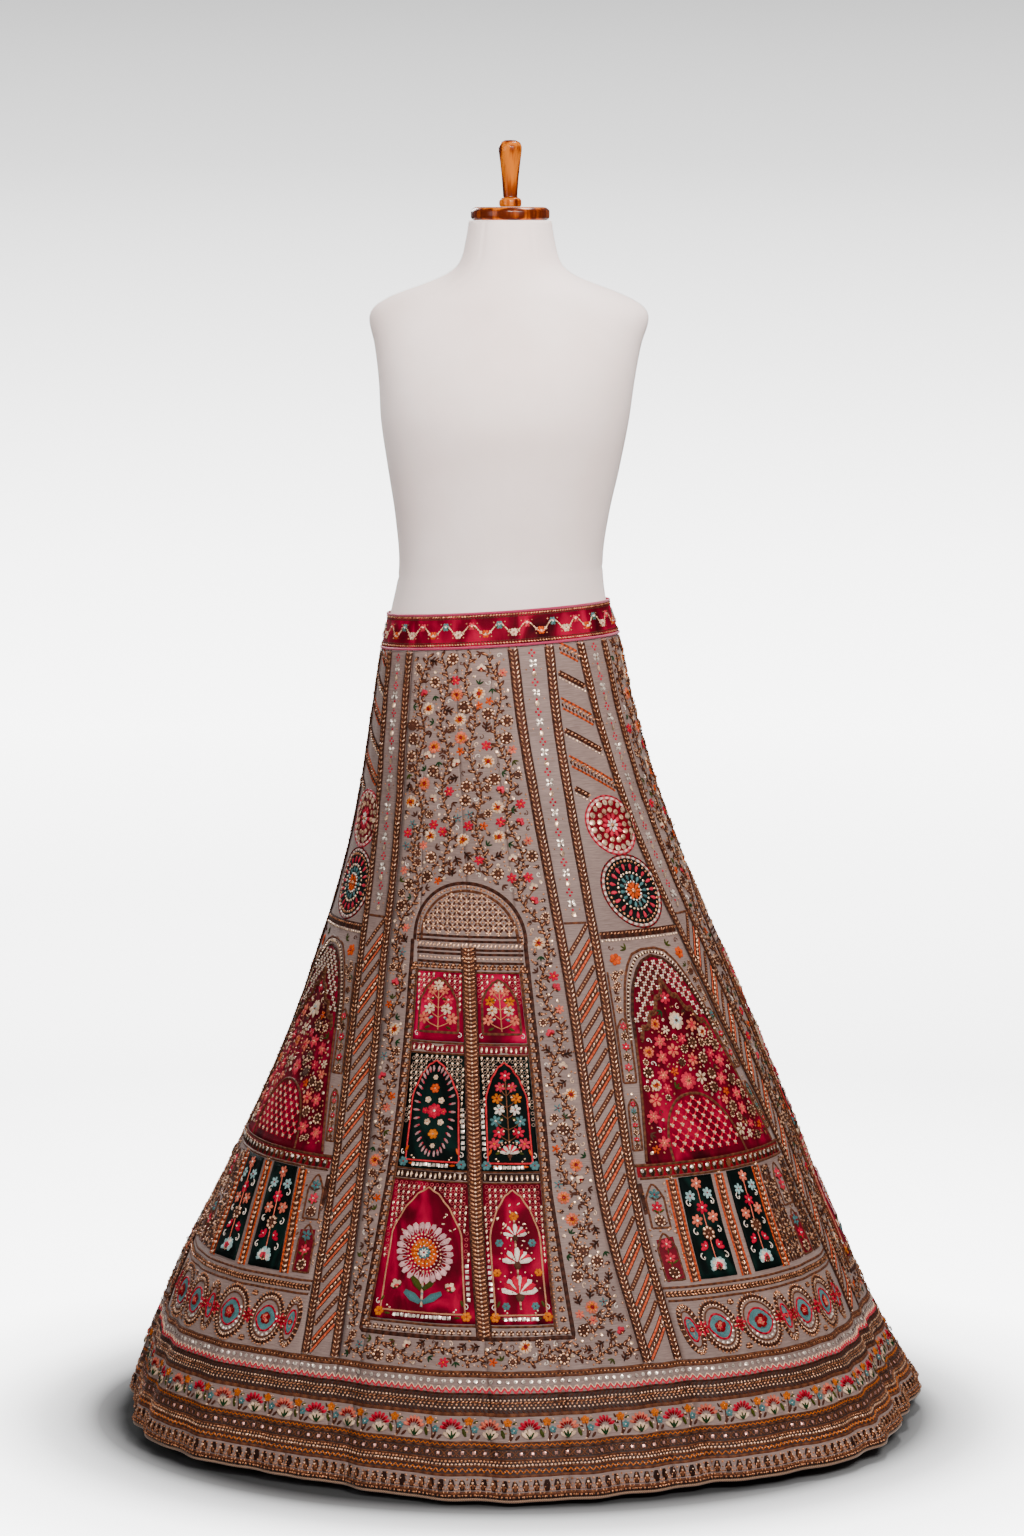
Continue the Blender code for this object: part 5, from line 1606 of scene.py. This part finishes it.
def star_net(ground):
    """Cream four-petalled stars in a slanting net between the outer arc and the cusped arch."""
    for row, z in enumerate(np.arange(0.512, 0.612, STAR_PITCH / 2)):
        left, right = arch_edge(ground.place, z, -0.005)
        if right - left < 0.004:
            continue
        count = int((right - left) / 2 / STAR_PITCH) + 1
        d = (left + right) / 2 + (np.arange(-count, count + 1) + row % 2 / 2) * STAR_PITCH
        d = d[(d > left) & (d < right)]
        d = d[z > cusped_arch(ground.place, d) + 0.0075]
        if not len(d):
            continue
        for k in range(4):
            ground.floss("petal", d, z, 0.0038, 0.0025, 0.0012, CREAM if (row + k) % 2 else WHITE,
                         math.pi / 4 + k * UP)
        ground.bead(d, z, 0.0021, 0.0019, OLD_GOLD)
        for lean in (0.785, -0.785):
            ground.floss("dash", d + STAR_PITCH / 2, z, STAR_PITCH * 0.62, 0.0016, 0.0008, BROWN, lean)


def stack_of_flowers(ground, side):
    """The flowers of one tall window, from its top to the peony at its foot."""
    def spot(across, z):
        return side * 0.038 + across + slide(ground.place, z)

    ground.braid([(spot(0.0, z), z) for z in (0.344, 0.318, 0.29, 0.256)], 0.0012, SALMON, None, 0.0008)
    for across, z, radius, tone, heart in (
            (0.0, 0.348, 0.0082, SALMON, WHITE), (-0.0125, 0.3345, 0.0074, PALE_TEAL, CRIMSON),
            (0.0125, 0.336, 0.0074, PALE_TEAL, CRIMSON), (0.0, 0.32, 0.0084, PINK, WHITE),
            (-0.0115, 0.306, 0.0082, SALMON, WHITE), (0.0125, 0.3085, 0.0082, SALMON, WHITE)):
        blossom(ground, spot(across, z), z, radius, 6, tone, heart, 0.3, 0.52)
    gilt_rosette(ground, spot(0.0, 0.2905), 0.2905, 0.0088)
    for hand in (-1, 1):
        for z in (0.326, 0.293, 0.264):
            curl(ground, spot(hand * 0.016, z), z, 0.0046, -hand, WHITE, UP)
        ground.floss("petal", spot(hand * 0.007, 0.2735), 0.2735, 0.0105, 0.0048, 0.0013, PINK,
                     UP - hand * np.array((0.9, 1.6, 0.2)))
        ground.bead(spot(hand * 0.0095, 0.2765), 0.2765, 0.003, 0.0024, WHITE)
    peony = spot(0.0, 0.2545)
    for reach, height, tone in ((0.0125, 0.0012, PALE_TEAL), (0.0105, 0.0018, WHITE),
                                (0.0072, 0.00279, ROSE)):
        ground.floss("petal", peony, 0.2525, reach, 0.0058, height, tone, np.linspace(-1.9, 1.9, 9) + UP)
    gilt_rosette(ground.above(0.0008), peony, 0.2515, 0.0046)


def chain(ground, path):
    """Orange cords either side of a chain of gold leaves."""
    for shift in (-0.006, 0.006):
        ground.braid(path + (shift, 0.0), 0.003, ORANGE, dye(150, 52, 26), 0.0013, 0.0028)
    ground.braid(path, 0.0085, BROWN, None, 0.0003, 0.008)
    ground.line(path, 0.0066, 0.0056, PALE_GOLD, "leaf", 0.42, -0.5)
    ground.line(path, 0.0066, 0.0056, GOLD, "leaf", 0.42, 0.5)


def niche(ground, middle, low, high, reach, base, draw):
    """A slim pointed niche outlined in brown braid, with one flowering sprig."""
    x = np.linspace(-1.0, 1.0, 9)
    shoulder = high - reach * 1.5
    z = np.concatenate([[low], shoulder + (high - shoulder) * (1.0 - np.abs(x) ** 1.4), [low, low]])
    at = [middle(low)] + [middle(up) for up in z[1:-2]] + [middle(low)] * 2
    path = run_of(at + reach * np.concatenate([[-1.0], x, [1.0, -1.0]]), z)
    if base is not None:
        spine = [(middle(z), z) for z in np.linspace(low, high - reach * 0.5, 5)]
        ground.braid(spine, reach * 1.9, base, None, 0.0003, 0.008)
    ground.braid(path, 0.0028, BROWN, OLD_GOLD, 0.0013, 0.004)
    levels = np.linspace(low + reach * 0.7, high - reach * 1.1, max(2, round((high - low) / (reach * 1.5))))
    ground.above(0.0003).braid([(middle(z), z) for z in levels], 0.0013, OLIVE)
    over = ground.above(0.0004)
    for number, z in enumerate(levels):
        if number % 2 == 0 and number < len(levels) - 1:
            gilt_rosette(over, middle(z), z, reach * 0.62)
        else:
            tone, heart = ((TEAL, CRIMSON), (PINK, WHITE), (ROSE, CREAM))[(number + draw.integers(2)) % 3]
            blossom(over, middle(z), z, reach * 0.66, 6, tone, heart, 0.4, 0.5)
        over.floss("leaf", middle(z), z - reach * 0.5, reach * 0.75, reach * 0.26, 0.001,
                   (BROWN, OLIVE)[number % 2], UP + np.array((-1.1, 1.1)))


def beaded_eye(ground, d, z, radius, stretch):
    """Concentric ovals: brown braid with beads standing round it, a ring of sequins, and a teal eye."""
    narrow = radius < 0.014
    grow, ends = (1.0 / stretch, 0.0) if narrow else (1.0, 0.24)
    for share, width, tone, second, pointed in ((0.98, 0.0054, BROWN, DARK_BROWN, 0.0),
                                                (0.78, 0.0022, BROWN, OLD_GOLD, 0.0),
                                                (0.52, 0.0026, CRIMSON, PINK, ends)):
        ground.braid(rim(d, z, radius * share, 30, stretch, pointed), width, tone, second, 0.0014, 0.004)
    turns = np.linspace(0.0, 2.0 * math.pi, int(radius * (1 + stretch) * 3.14 / 0.0046), endpoint=False)
    lean = np.arctan2(np.sin(turns) / stretch, np.cos(turns))
    for share, tone in ((1.08, GOLD), (0.9, PALE_GOLD)):
        tall = radius * stretch * (1 + (share - 1) * grow)
        across = radius * share * np.cos(turns)
        ground.beads("dash", d + across, z + tall * np.sin(turns), 0.0042, 0.002604, 0.0018, tone,
                     lean)
    if not narrow:
        reach = radius * 0.67
        turns = np.linspace(-2.6, 0.4, int(reach * 3.0 / 0.005))
        ground.beads("sequin", d + reach * np.cos(turns), z + reach * stretch * np.sin(turns), 0.004, 0.004,
                     0.001, WHITE)
    for share in (0.12, 0.3, 0.41):
        ground.braid(rim(d, z, radius * share, 16, stretch, ends), radius * 0.22, TEAL, None, 0.0005,
                     radius * min(share, 0.3))
    for share, tone in ((0.34, CRIMSON), (0.25, SALMON), (0.16, PINK)):
        blossom(ground.above(0.0008 + (0.34 - share) * 0.004), d, z, radius * share, 5, tone, GOLD, 0.3, 0.9)


def arch_panel_work(panel):
    ground, velvet = Ground(panel), Ground(panel, VELVET_TOP)
    draw = np.random.default_rng(200 + panel)

    def edge(side, z, inset=0.003):
        return side * (panel_half(panel, side, z) - inset)

    slanting_braids(ground)
    beaded_rosette(ground, 0.01, 0.772, 0.033, dye(120, 4, 24), ROSE, (
        ("sequin", 0.84, 19, 0.0078, CREAM), ("sequin", 0.56, 13, 0.0068, PALE_GOLD),
        ("petal", 0.14, 10, 0.0105, ROSE), ("petal", 0.05, 8, 0.0072, WHITE), ("bead", 0.0, 1, 0.006, GOLD)))
    beaded_rosette(ground, 0.011, 0.692, 0.041, dye(14, 22, 20), CRIMSON, (
        ("bead", 0.88, 40, 0.0038, GOLD), ("petal", 0.6, 18, 0.0095, ROSE), ("bead", 0.54, 26, 0.0034, CREAM),
        ("petal", 0.3, 14, 0.0086, TEAL), ("bead", 0.27, 16, 0.003, WHITE), ("petal", 0.05, 9, 0.01, ORANGE),
        ("bead", 0.0, 1, 0.0064, GOLD)))
    # Braid over the arch, flowers in its corners, and the arc of standing beads.
    top = run_of([edge(-1, ARCH_FRAME_TOP), 0.0, edge(1, ARCH_FRAME_TOP)], ARCH_FRAME_TOP)
    ground.braid(top + (0.0, 0.003), 0.0095, BROWN, DARK_BROWN, 0.001, 0.005)
    ground.above(0.0008).line(top + (0.0, 0.0042), 0.0052, 0.0042, GOLD, "dash", 0.5, 0.6)
    ground.line(top - (0.0, 0.0036), 0.0048, 0.0034, CREAM)
    for side in (-1, 1):
        flower = edge(side, 0.617) - side * 0.013
        blossom(ground, flower, 0.614, 0.0082, 6, ORANGE, CRIMSON, 0.2, 0.7)
        leaf_spray(ground, flower - side * 0.017, 0.6265, 0.006, OLIVE, UP - side * 0.9)
        curl(ground, flower + side * 0.001, 0.6285, 0.004, side, BROWN)
        for z in np.arange(0.555, 0.602, 0.0125):
            gilt_rosette(ground, edge(side, z) - side * 0.0085, z, 0.0044)
        z = np.linspace(0.474, 0.6, 16)
        ground.braid(run_of(edge(side, z, 0.0035), z), 0.0026, BROWN, OLD_GOLD, 0.0011, 0.005)
    rise = np.concatenate([np.linspace(0.52, 0.6, 9), np.linspace(0.603, 0.6148, 6)])

    def arc(grow, over):
        left, right = arch_edge(panel, rise, grow)
        up = rise + over * np.clip((rise - 0.57) / 0.04, 0.0, 1.0)
        return np.concatenate([run_of(left, up), run_of(right, up)[::-1]])

    velvet.braid(arc(-0.0008, 0.0), 0.004, BROWN, DARK_BROWN, 0.0012, 0.004)
    ground.above(-0.0009).braid(arc(0.0044, 0.0044), 0.0078, BROWN, DARK_BROWN, 0.0012, 0.004)
    ground.braid(arc(0.0088, 0.0088), 0.0034, BROWN, OLD_GOLD, 0.0012, 0.004)
    ground.above(0.0003).line(arc(0.0044, 0.0046), 0.005, 0.0052, CREAM, "dash", 0.46, UP)
    # Net of stars, the cusped arch below it, and the flowers that fill the velvet.
    star_net(velvet)
    d = np.linspace(*arch_edge(panel, 0.53, -0.004), 60)
    velvet.braid(run_of(d, cusped_arch(panel, d) + 0.002), 0.0044, BROWN, OLD_GOLD, 0.002, 0.003)
    velvet.braid(run_of(d, cusped_arch(panel, d) - 0.0018), 0.0026, OLD_GOLD, BROWN, 0.002, 0.003)
    net_middle = slide(panel, 0.41) - 0.007

    def small_arch(d, grow=0.0):
        x = np.minimum(np.abs(d - net_middle) / (0.06 + grow), 1.0)
        return 0.376 + (0.075 + grow) * (1.0 - x**2.2) ** 0.6

    def in_field(d, z, margin):
        left, right = arch_edge(panel, z, -0.004)
        return ((d > left + margin) & (d < right - margin) & (z < cusped_arch(panel, d) - 0.005 - margin)
                & (z > small_arch(d, 0.004) + margin) & (z > 0.383 + margin))

    def in_net(d, z):
        return (z < small_arch(d, -0.003)) & (np.abs(d - net_middle) < 0.057) & (z > 0.382)

    layered_blossom(velvet, 0.004, 0.536, 0.0125, CREAM, PALE_TEAL, OLD_GOLD, 10)
    blossom(velvet, 0.0, 0.5635, 0.0085, 6, ROSE, WHITE, 0.5, 0.5)
    layered_blossom(velvet, net_middle + 0.004, 0.4655, 0.012, ROSE, SALMON, OLD_GOLD, 9)
    taken = [(0.004, 0.536, 0.015), (0.0, 0.5635, 0.0095), (net_middle + 0.004, 0.4655, 0.0135)]
    kinds = (("cream", 0.0094, 12), ("rose", 0.0094, 90), ("peach", 0.0092, 60), ("marigold", 0.0078, 40),
             ("gilt", 0.0076, 300), ("rose", 0.007, 300), ("peach", 0.0066, 160), ("cream", 0.0064, 60),
             ("orange", 0.006, 100), ("gilt", 0.0058, 500), ("leaves", 0.006, 300), ("tulip", 0.0064, 200),
             ("curl", 0.0052, 900), ("sprig", 0.005, 600), ("gilt", 0.0044, 600), ("ring", 0.003, 1500),
             ("dot", 0.002, 4000))
    widest = max(panel_half(panel, -1, 0.38), panel_half(panel, 1, 0.38))
    scatter(velvet, in_field, (-widest, widest, 0.383, 0.58), kinds, draw, taken)
    z = np.linspace(0.378, 0.52, 12)
    for line in arch_edge(panel, z, -0.001):
        velvet.braid(run_of(line, z), 0.0032, BROWN, OLD_GOLD, 0.0013, 0.004)
    # Small arch with its pink net.
    d = np.linspace(net_middle - 0.06, net_middle + 0.06, 40)
    velvet.braid(run_of(d, small_arch(d)), 0.0034, BROWN, OLD_GOLD, 0.0012, 0.004)
    d, z = net(velvet, (net_middle - 0.06, net_middle + 0.06, 0.382, 0.452), in_net, 0.0145, PINK, 0.0019)
    for k in range(5):
        velvet.above(0.0003).floss("petal", d, z, 0.0031, 0.002, 0.0011, (CREAM, SALMON)[k % 2], k * 1.2566)
    velvet.bead(d, z, 0.002, 0.0018, PALE_GOLD)
    # Niches beside the velvet, and small sprays on the silk round them.
    taken = []
    for side in (-1, 1):
        def beside_arch(z):
            inner = np.abs(arch_edge(panel, z)[0 if side < 0 else 1])
            return side * (inner + panel_half(panel, side, z)) / 2

        for low, high in ((0.47, 0.545), (0.392, 0.452)):
            at = (low + high) / 2
            reach = abs(panel_half(panel, side, at) - abs(beside_arch(at))) - 0.0042
            if reach > 0.004:
                reach = min(reach, 0.0125)
                niche(ground, beside_arch, low, high, reach, None, draw)
                taken += [(beside_arch(z), z, reach + 0.002) for z in np.arange(low, high, 0.006)]

    def beside_velvet(d, z, margin):
        left, right = arch_edge(panel, z, np.where(z > 0.515, 0.0125, 0.0035) + margin)
        return ((d < left) | (d > right)) & (d > edge(-1, z, 0.004) + margin) & (
            d < edge(1, z, 0.004) - margin) & (z > 0.384 + margin) & (z < 0.604 - margin)

    kinds = (("gilt", 0.0052, 300), ("sprig", 0.0056, 900), ("leaves", 0.0044, 600), ("gilt", 0.0036, 900),
             ("ring", 0.0028, 900), ("dot", 0.0018, 2500))
    scatter(ground, beside_velvet, (-widest, widest, 0.384, 0.604), kinds, draw, taken)
    # Arcade of sequins under the velvet.
    z = 0.3668
    left, right = edge(-1, z), edge(1, z)
    across = np.linspace(left, right, 9)
    ground.braid(run_of(across, z), 0.013, dye(128, 4, 24), None, 0.0003, 0.012)
    ground.braid(run_of(across, 0.3745), 0.004, BROWN, OLD_GOLD, 0.0026, 0.005)
    ground.braid(run_of(across, 0.3592), 0.003, BROWN, OLD_GOLD, 0.0026, 0.005)
    spots = np.arange(left + 0.006, right - 0.004, 0.0112)
    ground.above(0.0004).floss("leaf", spots, z - 0.0062, 0.0125, 0.0092, 0.0008, OLD_GOLD, UP)
    ground.above(0.0009).floss("leaf", spots, z - 0.0058, 0.01, 0.0062, 0.0009, DARK_BROWN, UP)
    ground.above(0.0018).beads("sequin", spots, z + 0.0006, 0.0048, 0.0048, 0.001, WHITE)
    ground.above(0.0004).bead(spots + 0.0056, z + 0.003, 0.0026, 0.0016, PALE_GOLD)
    # Tall windows between their cords.
    for side in (-1, 1):
        stack_of_flowers(velvet, side)
    z = np.linspace(0.238, 0.356, 9)
    for share in (0.0, -0.0695, 0.0695):
        chain(ground, run_of(share * (1.0 + 0.06 * (0.36 - z) / 0.12) + slide(panel, z), z))
    covered = []
    for side in (-1, 1):
        def outside(z, side=side):
            return (side * 0.08 + slide(panel, z) + edge(side, z)) / 2

        room = abs(edge(side, 0.3) - side * 0.08 - slide(panel, 0.3)) / 2
        reach = min(room - 0.006, 0.013)
        for low, high, base in ((0.302, 0.353, None), (0.242, 0.296, dye(104, 4, 26))):
            if reach > 0.004:
                niche(ground, outside, low, high, reach, base, draw)
                covered.append((outside(low), outside(high), low, high, reach + 0.003))

    def on_ground(d, z):
        free = (np.abs(d - slide(panel, z)) > 0.0795) & (d > edge(-1, z)) & (d < edge(1, z))
        free &= (z > 0.238) & (z < 0.355)
        for foot, top, low, high, reach in covered:
            at = foot + (top - foot) * (z - low) / (high - low)
            free &= ~((np.abs(d - at) < reach) & (z > low - 0.002) & (z < high + 0.001))
        return free

    widest = max(panel_half(panel, -1, 0.24), panel_half(panel, 1, 0.24))
    for side in (-1, 1):
        for shift in np.arange(0.084, widest + 0.11, 0.007):
            z = np.linspace(0.241, 0.354, 20)
            d = side * shift + slide(panel, z)
            run = inside_run(run_of(d, z), on_ground(d, z))
            if len(run) > 3:
                ground.braid(run, 0.006, BROWN, DARK_BROWN, 0.0004, 0.008)
    # The ground round the niches is packed with gold beads laid at random.
    count = int((widest + widest) * (0.354 - 0.24) / 0.0042**2)
    d, z = draw.uniform(-widest, widest, count), draw.uniform(0.24, 0.354, count)
    free = on_ground(d, z)
    d, z = d[free], z[free]
    pick = draw.integers(0, 3, len(d))
    for k, tone in enumerate((GOLD, OLD_GOLD, PALE_GOLD)):
        if (pick == k).any():
            turns = draw.uniform(0.0, 3.1, (pick == k).sum())
            ground.above(0.0005).beads("leaf", d[pick == k], z[pick == k], 0.0036, 0.00252, 0.00144,
                                       tone, turns)
    # Braid and the row of eyes.
    across = np.linspace(edge(-1, 0.224), edge(1, 0.224), 15)
    for z, width, second in ((0.2335, 0.003, OLD_GOLD), (0.226, 0.0075, DARK_BROWN),
                             (0.2185, 0.003, OLD_GOLD)):
        ground.braid(run_of(across, z), width, BROWN, second, 0.001, 0.005)
    spots = np.arange(across[0] + 0.003, across[-1] - 0.002, 0.005)
    for z, lean in ((0.2277, 0.6), (0.2243, -0.6)):
        ground.above(0.0008).beads("dash", spots, z, 0.005, 0.0024, 0.0013, GOLD, lean)
    z = 0.185
    left, right = edge(-1, z), edge(1, z)
    hand = -1 if panel == 5 else 1
    for period in (-2, -1, 0, 1, 2):
        for shift, radius, stretch, beyond in ((0.0, 0.0275, 1.06, 0.031), (0.043, 0.0112, 2.45, 0.013),
                                               (0.081, 0.0235, 1.2, 0.0285)):
            d = slide(panel, z) + hand * (shift + period * 0.14)
            if left + radius * 0.95 < d < right - radius * 0.95:
                beaded_eye(ground, d, z, radius, stretch)
            bud = d + hand * beyond
            if left + 0.009 < bud < right - 0.009:
                blossom(ground, bud, z, 0.0102, 8, PINK, CRIMSON, 0.2, 0.42)
                blossom(ground.above(0.0008), bud, z, 0.0054, 8, CRIMSON, GOLD, 0.2, 0.5)
            if shift > 0.05 and left + 0.006 < bud < right - 0.006:
                for up in (0.211, 0.159):
                    triplets(ground, level_run(bud - 0.001, bud + 0.001, up), 0.01, GOLD)


for panel in (1, 3, 5):
    arch_panel_work(panel)

# ---- Sewing it on -------------------------------------------------------------------------------------
# Everything above is turned into one mesh for each panel's floss and one for its beads. Floss is silk and
# brown metal thread; beads, bugles and sequins are gilt and silvered. Each bead sits a little askew.
SHADES = np.array((0.8, 0.93, 1.05, 1.18))
FIELD = 0.6
chance = np.random.default_rng(11)


def stitched_finish(finish, scale, dark, bright):
    """Tint a finish with each stitch's dye and painted rim shade, broken by a fine noise; returns the noise.
    """
    grain = finish.noise(finish.spot("Object"), scale, 2.0, 0.6)
    tint = finish.node("Attribute", attribute_name="dye_and_rim_shade").outputs["Color"]
    finish.feed(Base_Color=finish.mix(tint, finish.ramp(grain, dark, bright), blend_type="MULTIPLY"))
    return grain


floss = Finish("embroidery_floss", dye(150, 110, 90), 0.5, Specular_IOR_Level=0.06)
strand = stitched_finish(floss, 900.0, (0.3, (0.55, 0.53, 0.51)), (0.66, (1.08, 1.06, 1.04)))
floss.bump(strand, 0.4, 0.0006)
beads = Finish("gilt_beads", dye(214, 170, 120), 0.27, 0.6)
wear = stitched_finish(beads, 260.0, (0.3, (0.66, 0.63, 0.6)), (0.62, (1.3, 1.26, 1.22)))
beads.feed(Roughness=beads.ramp(wear, (0.3, 0.2), (0.7, 0.38)))


def placed(piece):
    """Points, faces and colours of all the copied stitches of a piece: dyes, with painted shade on each
    stitch's rim; and a map that keeps each dye apart.
    """
    points, faces, colours, keys, local = [], [], [], [], []
    total = 0
    for number, (unit_name, batches) in enumerate(sewn.get(piece, {}).items()):
        model, model_faces = UNITS[unit_name]
        rows = np.concatenate(batches)
        place, d, z, lift, length, width, height, turn = rows[:, :8].T
        if piece.endswith("waistband"):
            spots, across, up, out = band_frames(d, z)
        else:
            spots, across, up, out = frames(angle_of(place.astype(int), d, z), z)
        x = model[None, :, 0] * length[:, None]
        y = model[None, :, 1] * width[:, None]
        askew = chance.normal(0.0, 0.16 if piece.startswith("beads") else 0.05, (len(rows), 2))
        tall = model[None, :, 2] * height[:, None] + x * askew[:, :1] + y * askew[:, 1:]
        tall += (np.abs(askew[:, 0]) * length / 2 + np.abs(askew[:, 1]) * width / 2)[:, None]
        right = np.cos(turn)[:, None] * x - np.sin(turn)[:, None] * y
        over = np.sin(turn)[:, None] * x + np.cos(turn)[:, None] * y
        world_points = (spots[:, None] + across[:, None] * right[..., None] + up[:, None] * over[..., None]
                        + out[:, None] * (lift[:, None] + tall)[..., None])
        shade = rows[:, 8:11] * SHADES[chance.integers(0, len(SHADES), len(rows))][:, None]
        # Painted shade: points of each stitch at or below the cloth's face get 0.72 of its dye, so the raised
        # middle reads lighter.
        ring = np.where(model[:, 2] > 0, 1.0, 0.72)[None, :, None]
        points.append(world_points.reshape(-1, 3))
        starts = total + np.arange(len(rows)) * len(model)
        faces.append((model_faces[None] + starts[:, None, None]).reshape(-1, 3))
        colours.append((shade[:, None] * ring).reshape(-1, 3))
        keys.append(np.column_stack([np.full(len(rows), number), shade]).repeat(len(model_faces), 0))
        flat = (model[:, :2] - model[:, :2].min(0)) / np.ptp(model[:, :2], axis=0)
        local.append(np.tile(flat[model_faces].reshape(-1, 2), (len(rows), 1)))
        total += len(rows) * len(model)
    for spots, braid_faces, tones in couched.get(piece, []):
        row_shade = SHADES[chance.integers(0, len(SHADES), len(tones) // 3)]
        points.append(spots)
        faces.append(braid_faces + total)
        colours.append(tones * row_shade.repeat(3)[:, None])
        first = colours[-1][braid_faces.min(1) // 3 * 3]
        second = colours[-1][braid_faces.max(1) // 3 * 3]
        keys.append(np.column_stack([first[:, 0] + 9.0, first[:, 1:], second.sum(1)]).round(2)[:, :4])
        local.append(np.stack([braid_faces // 3 % 2, braid_faces % 3 / 2], -1).reshape(-1, 2))
        total += len(spots)
    _, cell = np.unique(np.concatenate(keys).round(3), axis=0, return_inverse=True)
    grid = math.ceil(math.sqrt(cell.max() + 1))
    corner = np.stack([cell.ravel() % grid, cell.ravel() // grid], 1).repeat(3, 0)
    flat_map = (corner + (1.0 - FIELD) / 2 + FIELD * np.concatenate(local)) / grid
    return np.concatenate(points), np.concatenate(faces), np.concatenate(colours), flat_map


for piece_name in sorted(set(sewn) | set(couched)):
    points, faces, colours, flat_map = placed(piece_name)
    bpy.ops.object.select_all(action="DESELECT")
    bpy.ops.mesh.primitive_plane_add(size=0.01)
    piece = bpy.context.object
    piece.name = piece.data.name = piece_name
    piece.data.clear_geometry()
    piece.data.from_pydata(points, [], faces)
    dye_and_rim_shade = piece.data.color_attributes.new(name="dye_and_rim_shade", type="FLOAT_COLOR", domain="POINT")
    dye_and_rim_shade.data.foreach_set("color", np.concatenate([colours, np.ones((len(colours), 1))], 1).ravel())
    piece.data.uv_layers.new(name="OFBake").data.foreach_set("uv", flat_map.ravel())
    bpy.ops.object.shade_smooth()
    seat(piece, beads if piece_name.startswith("beads") else floss, "silk")
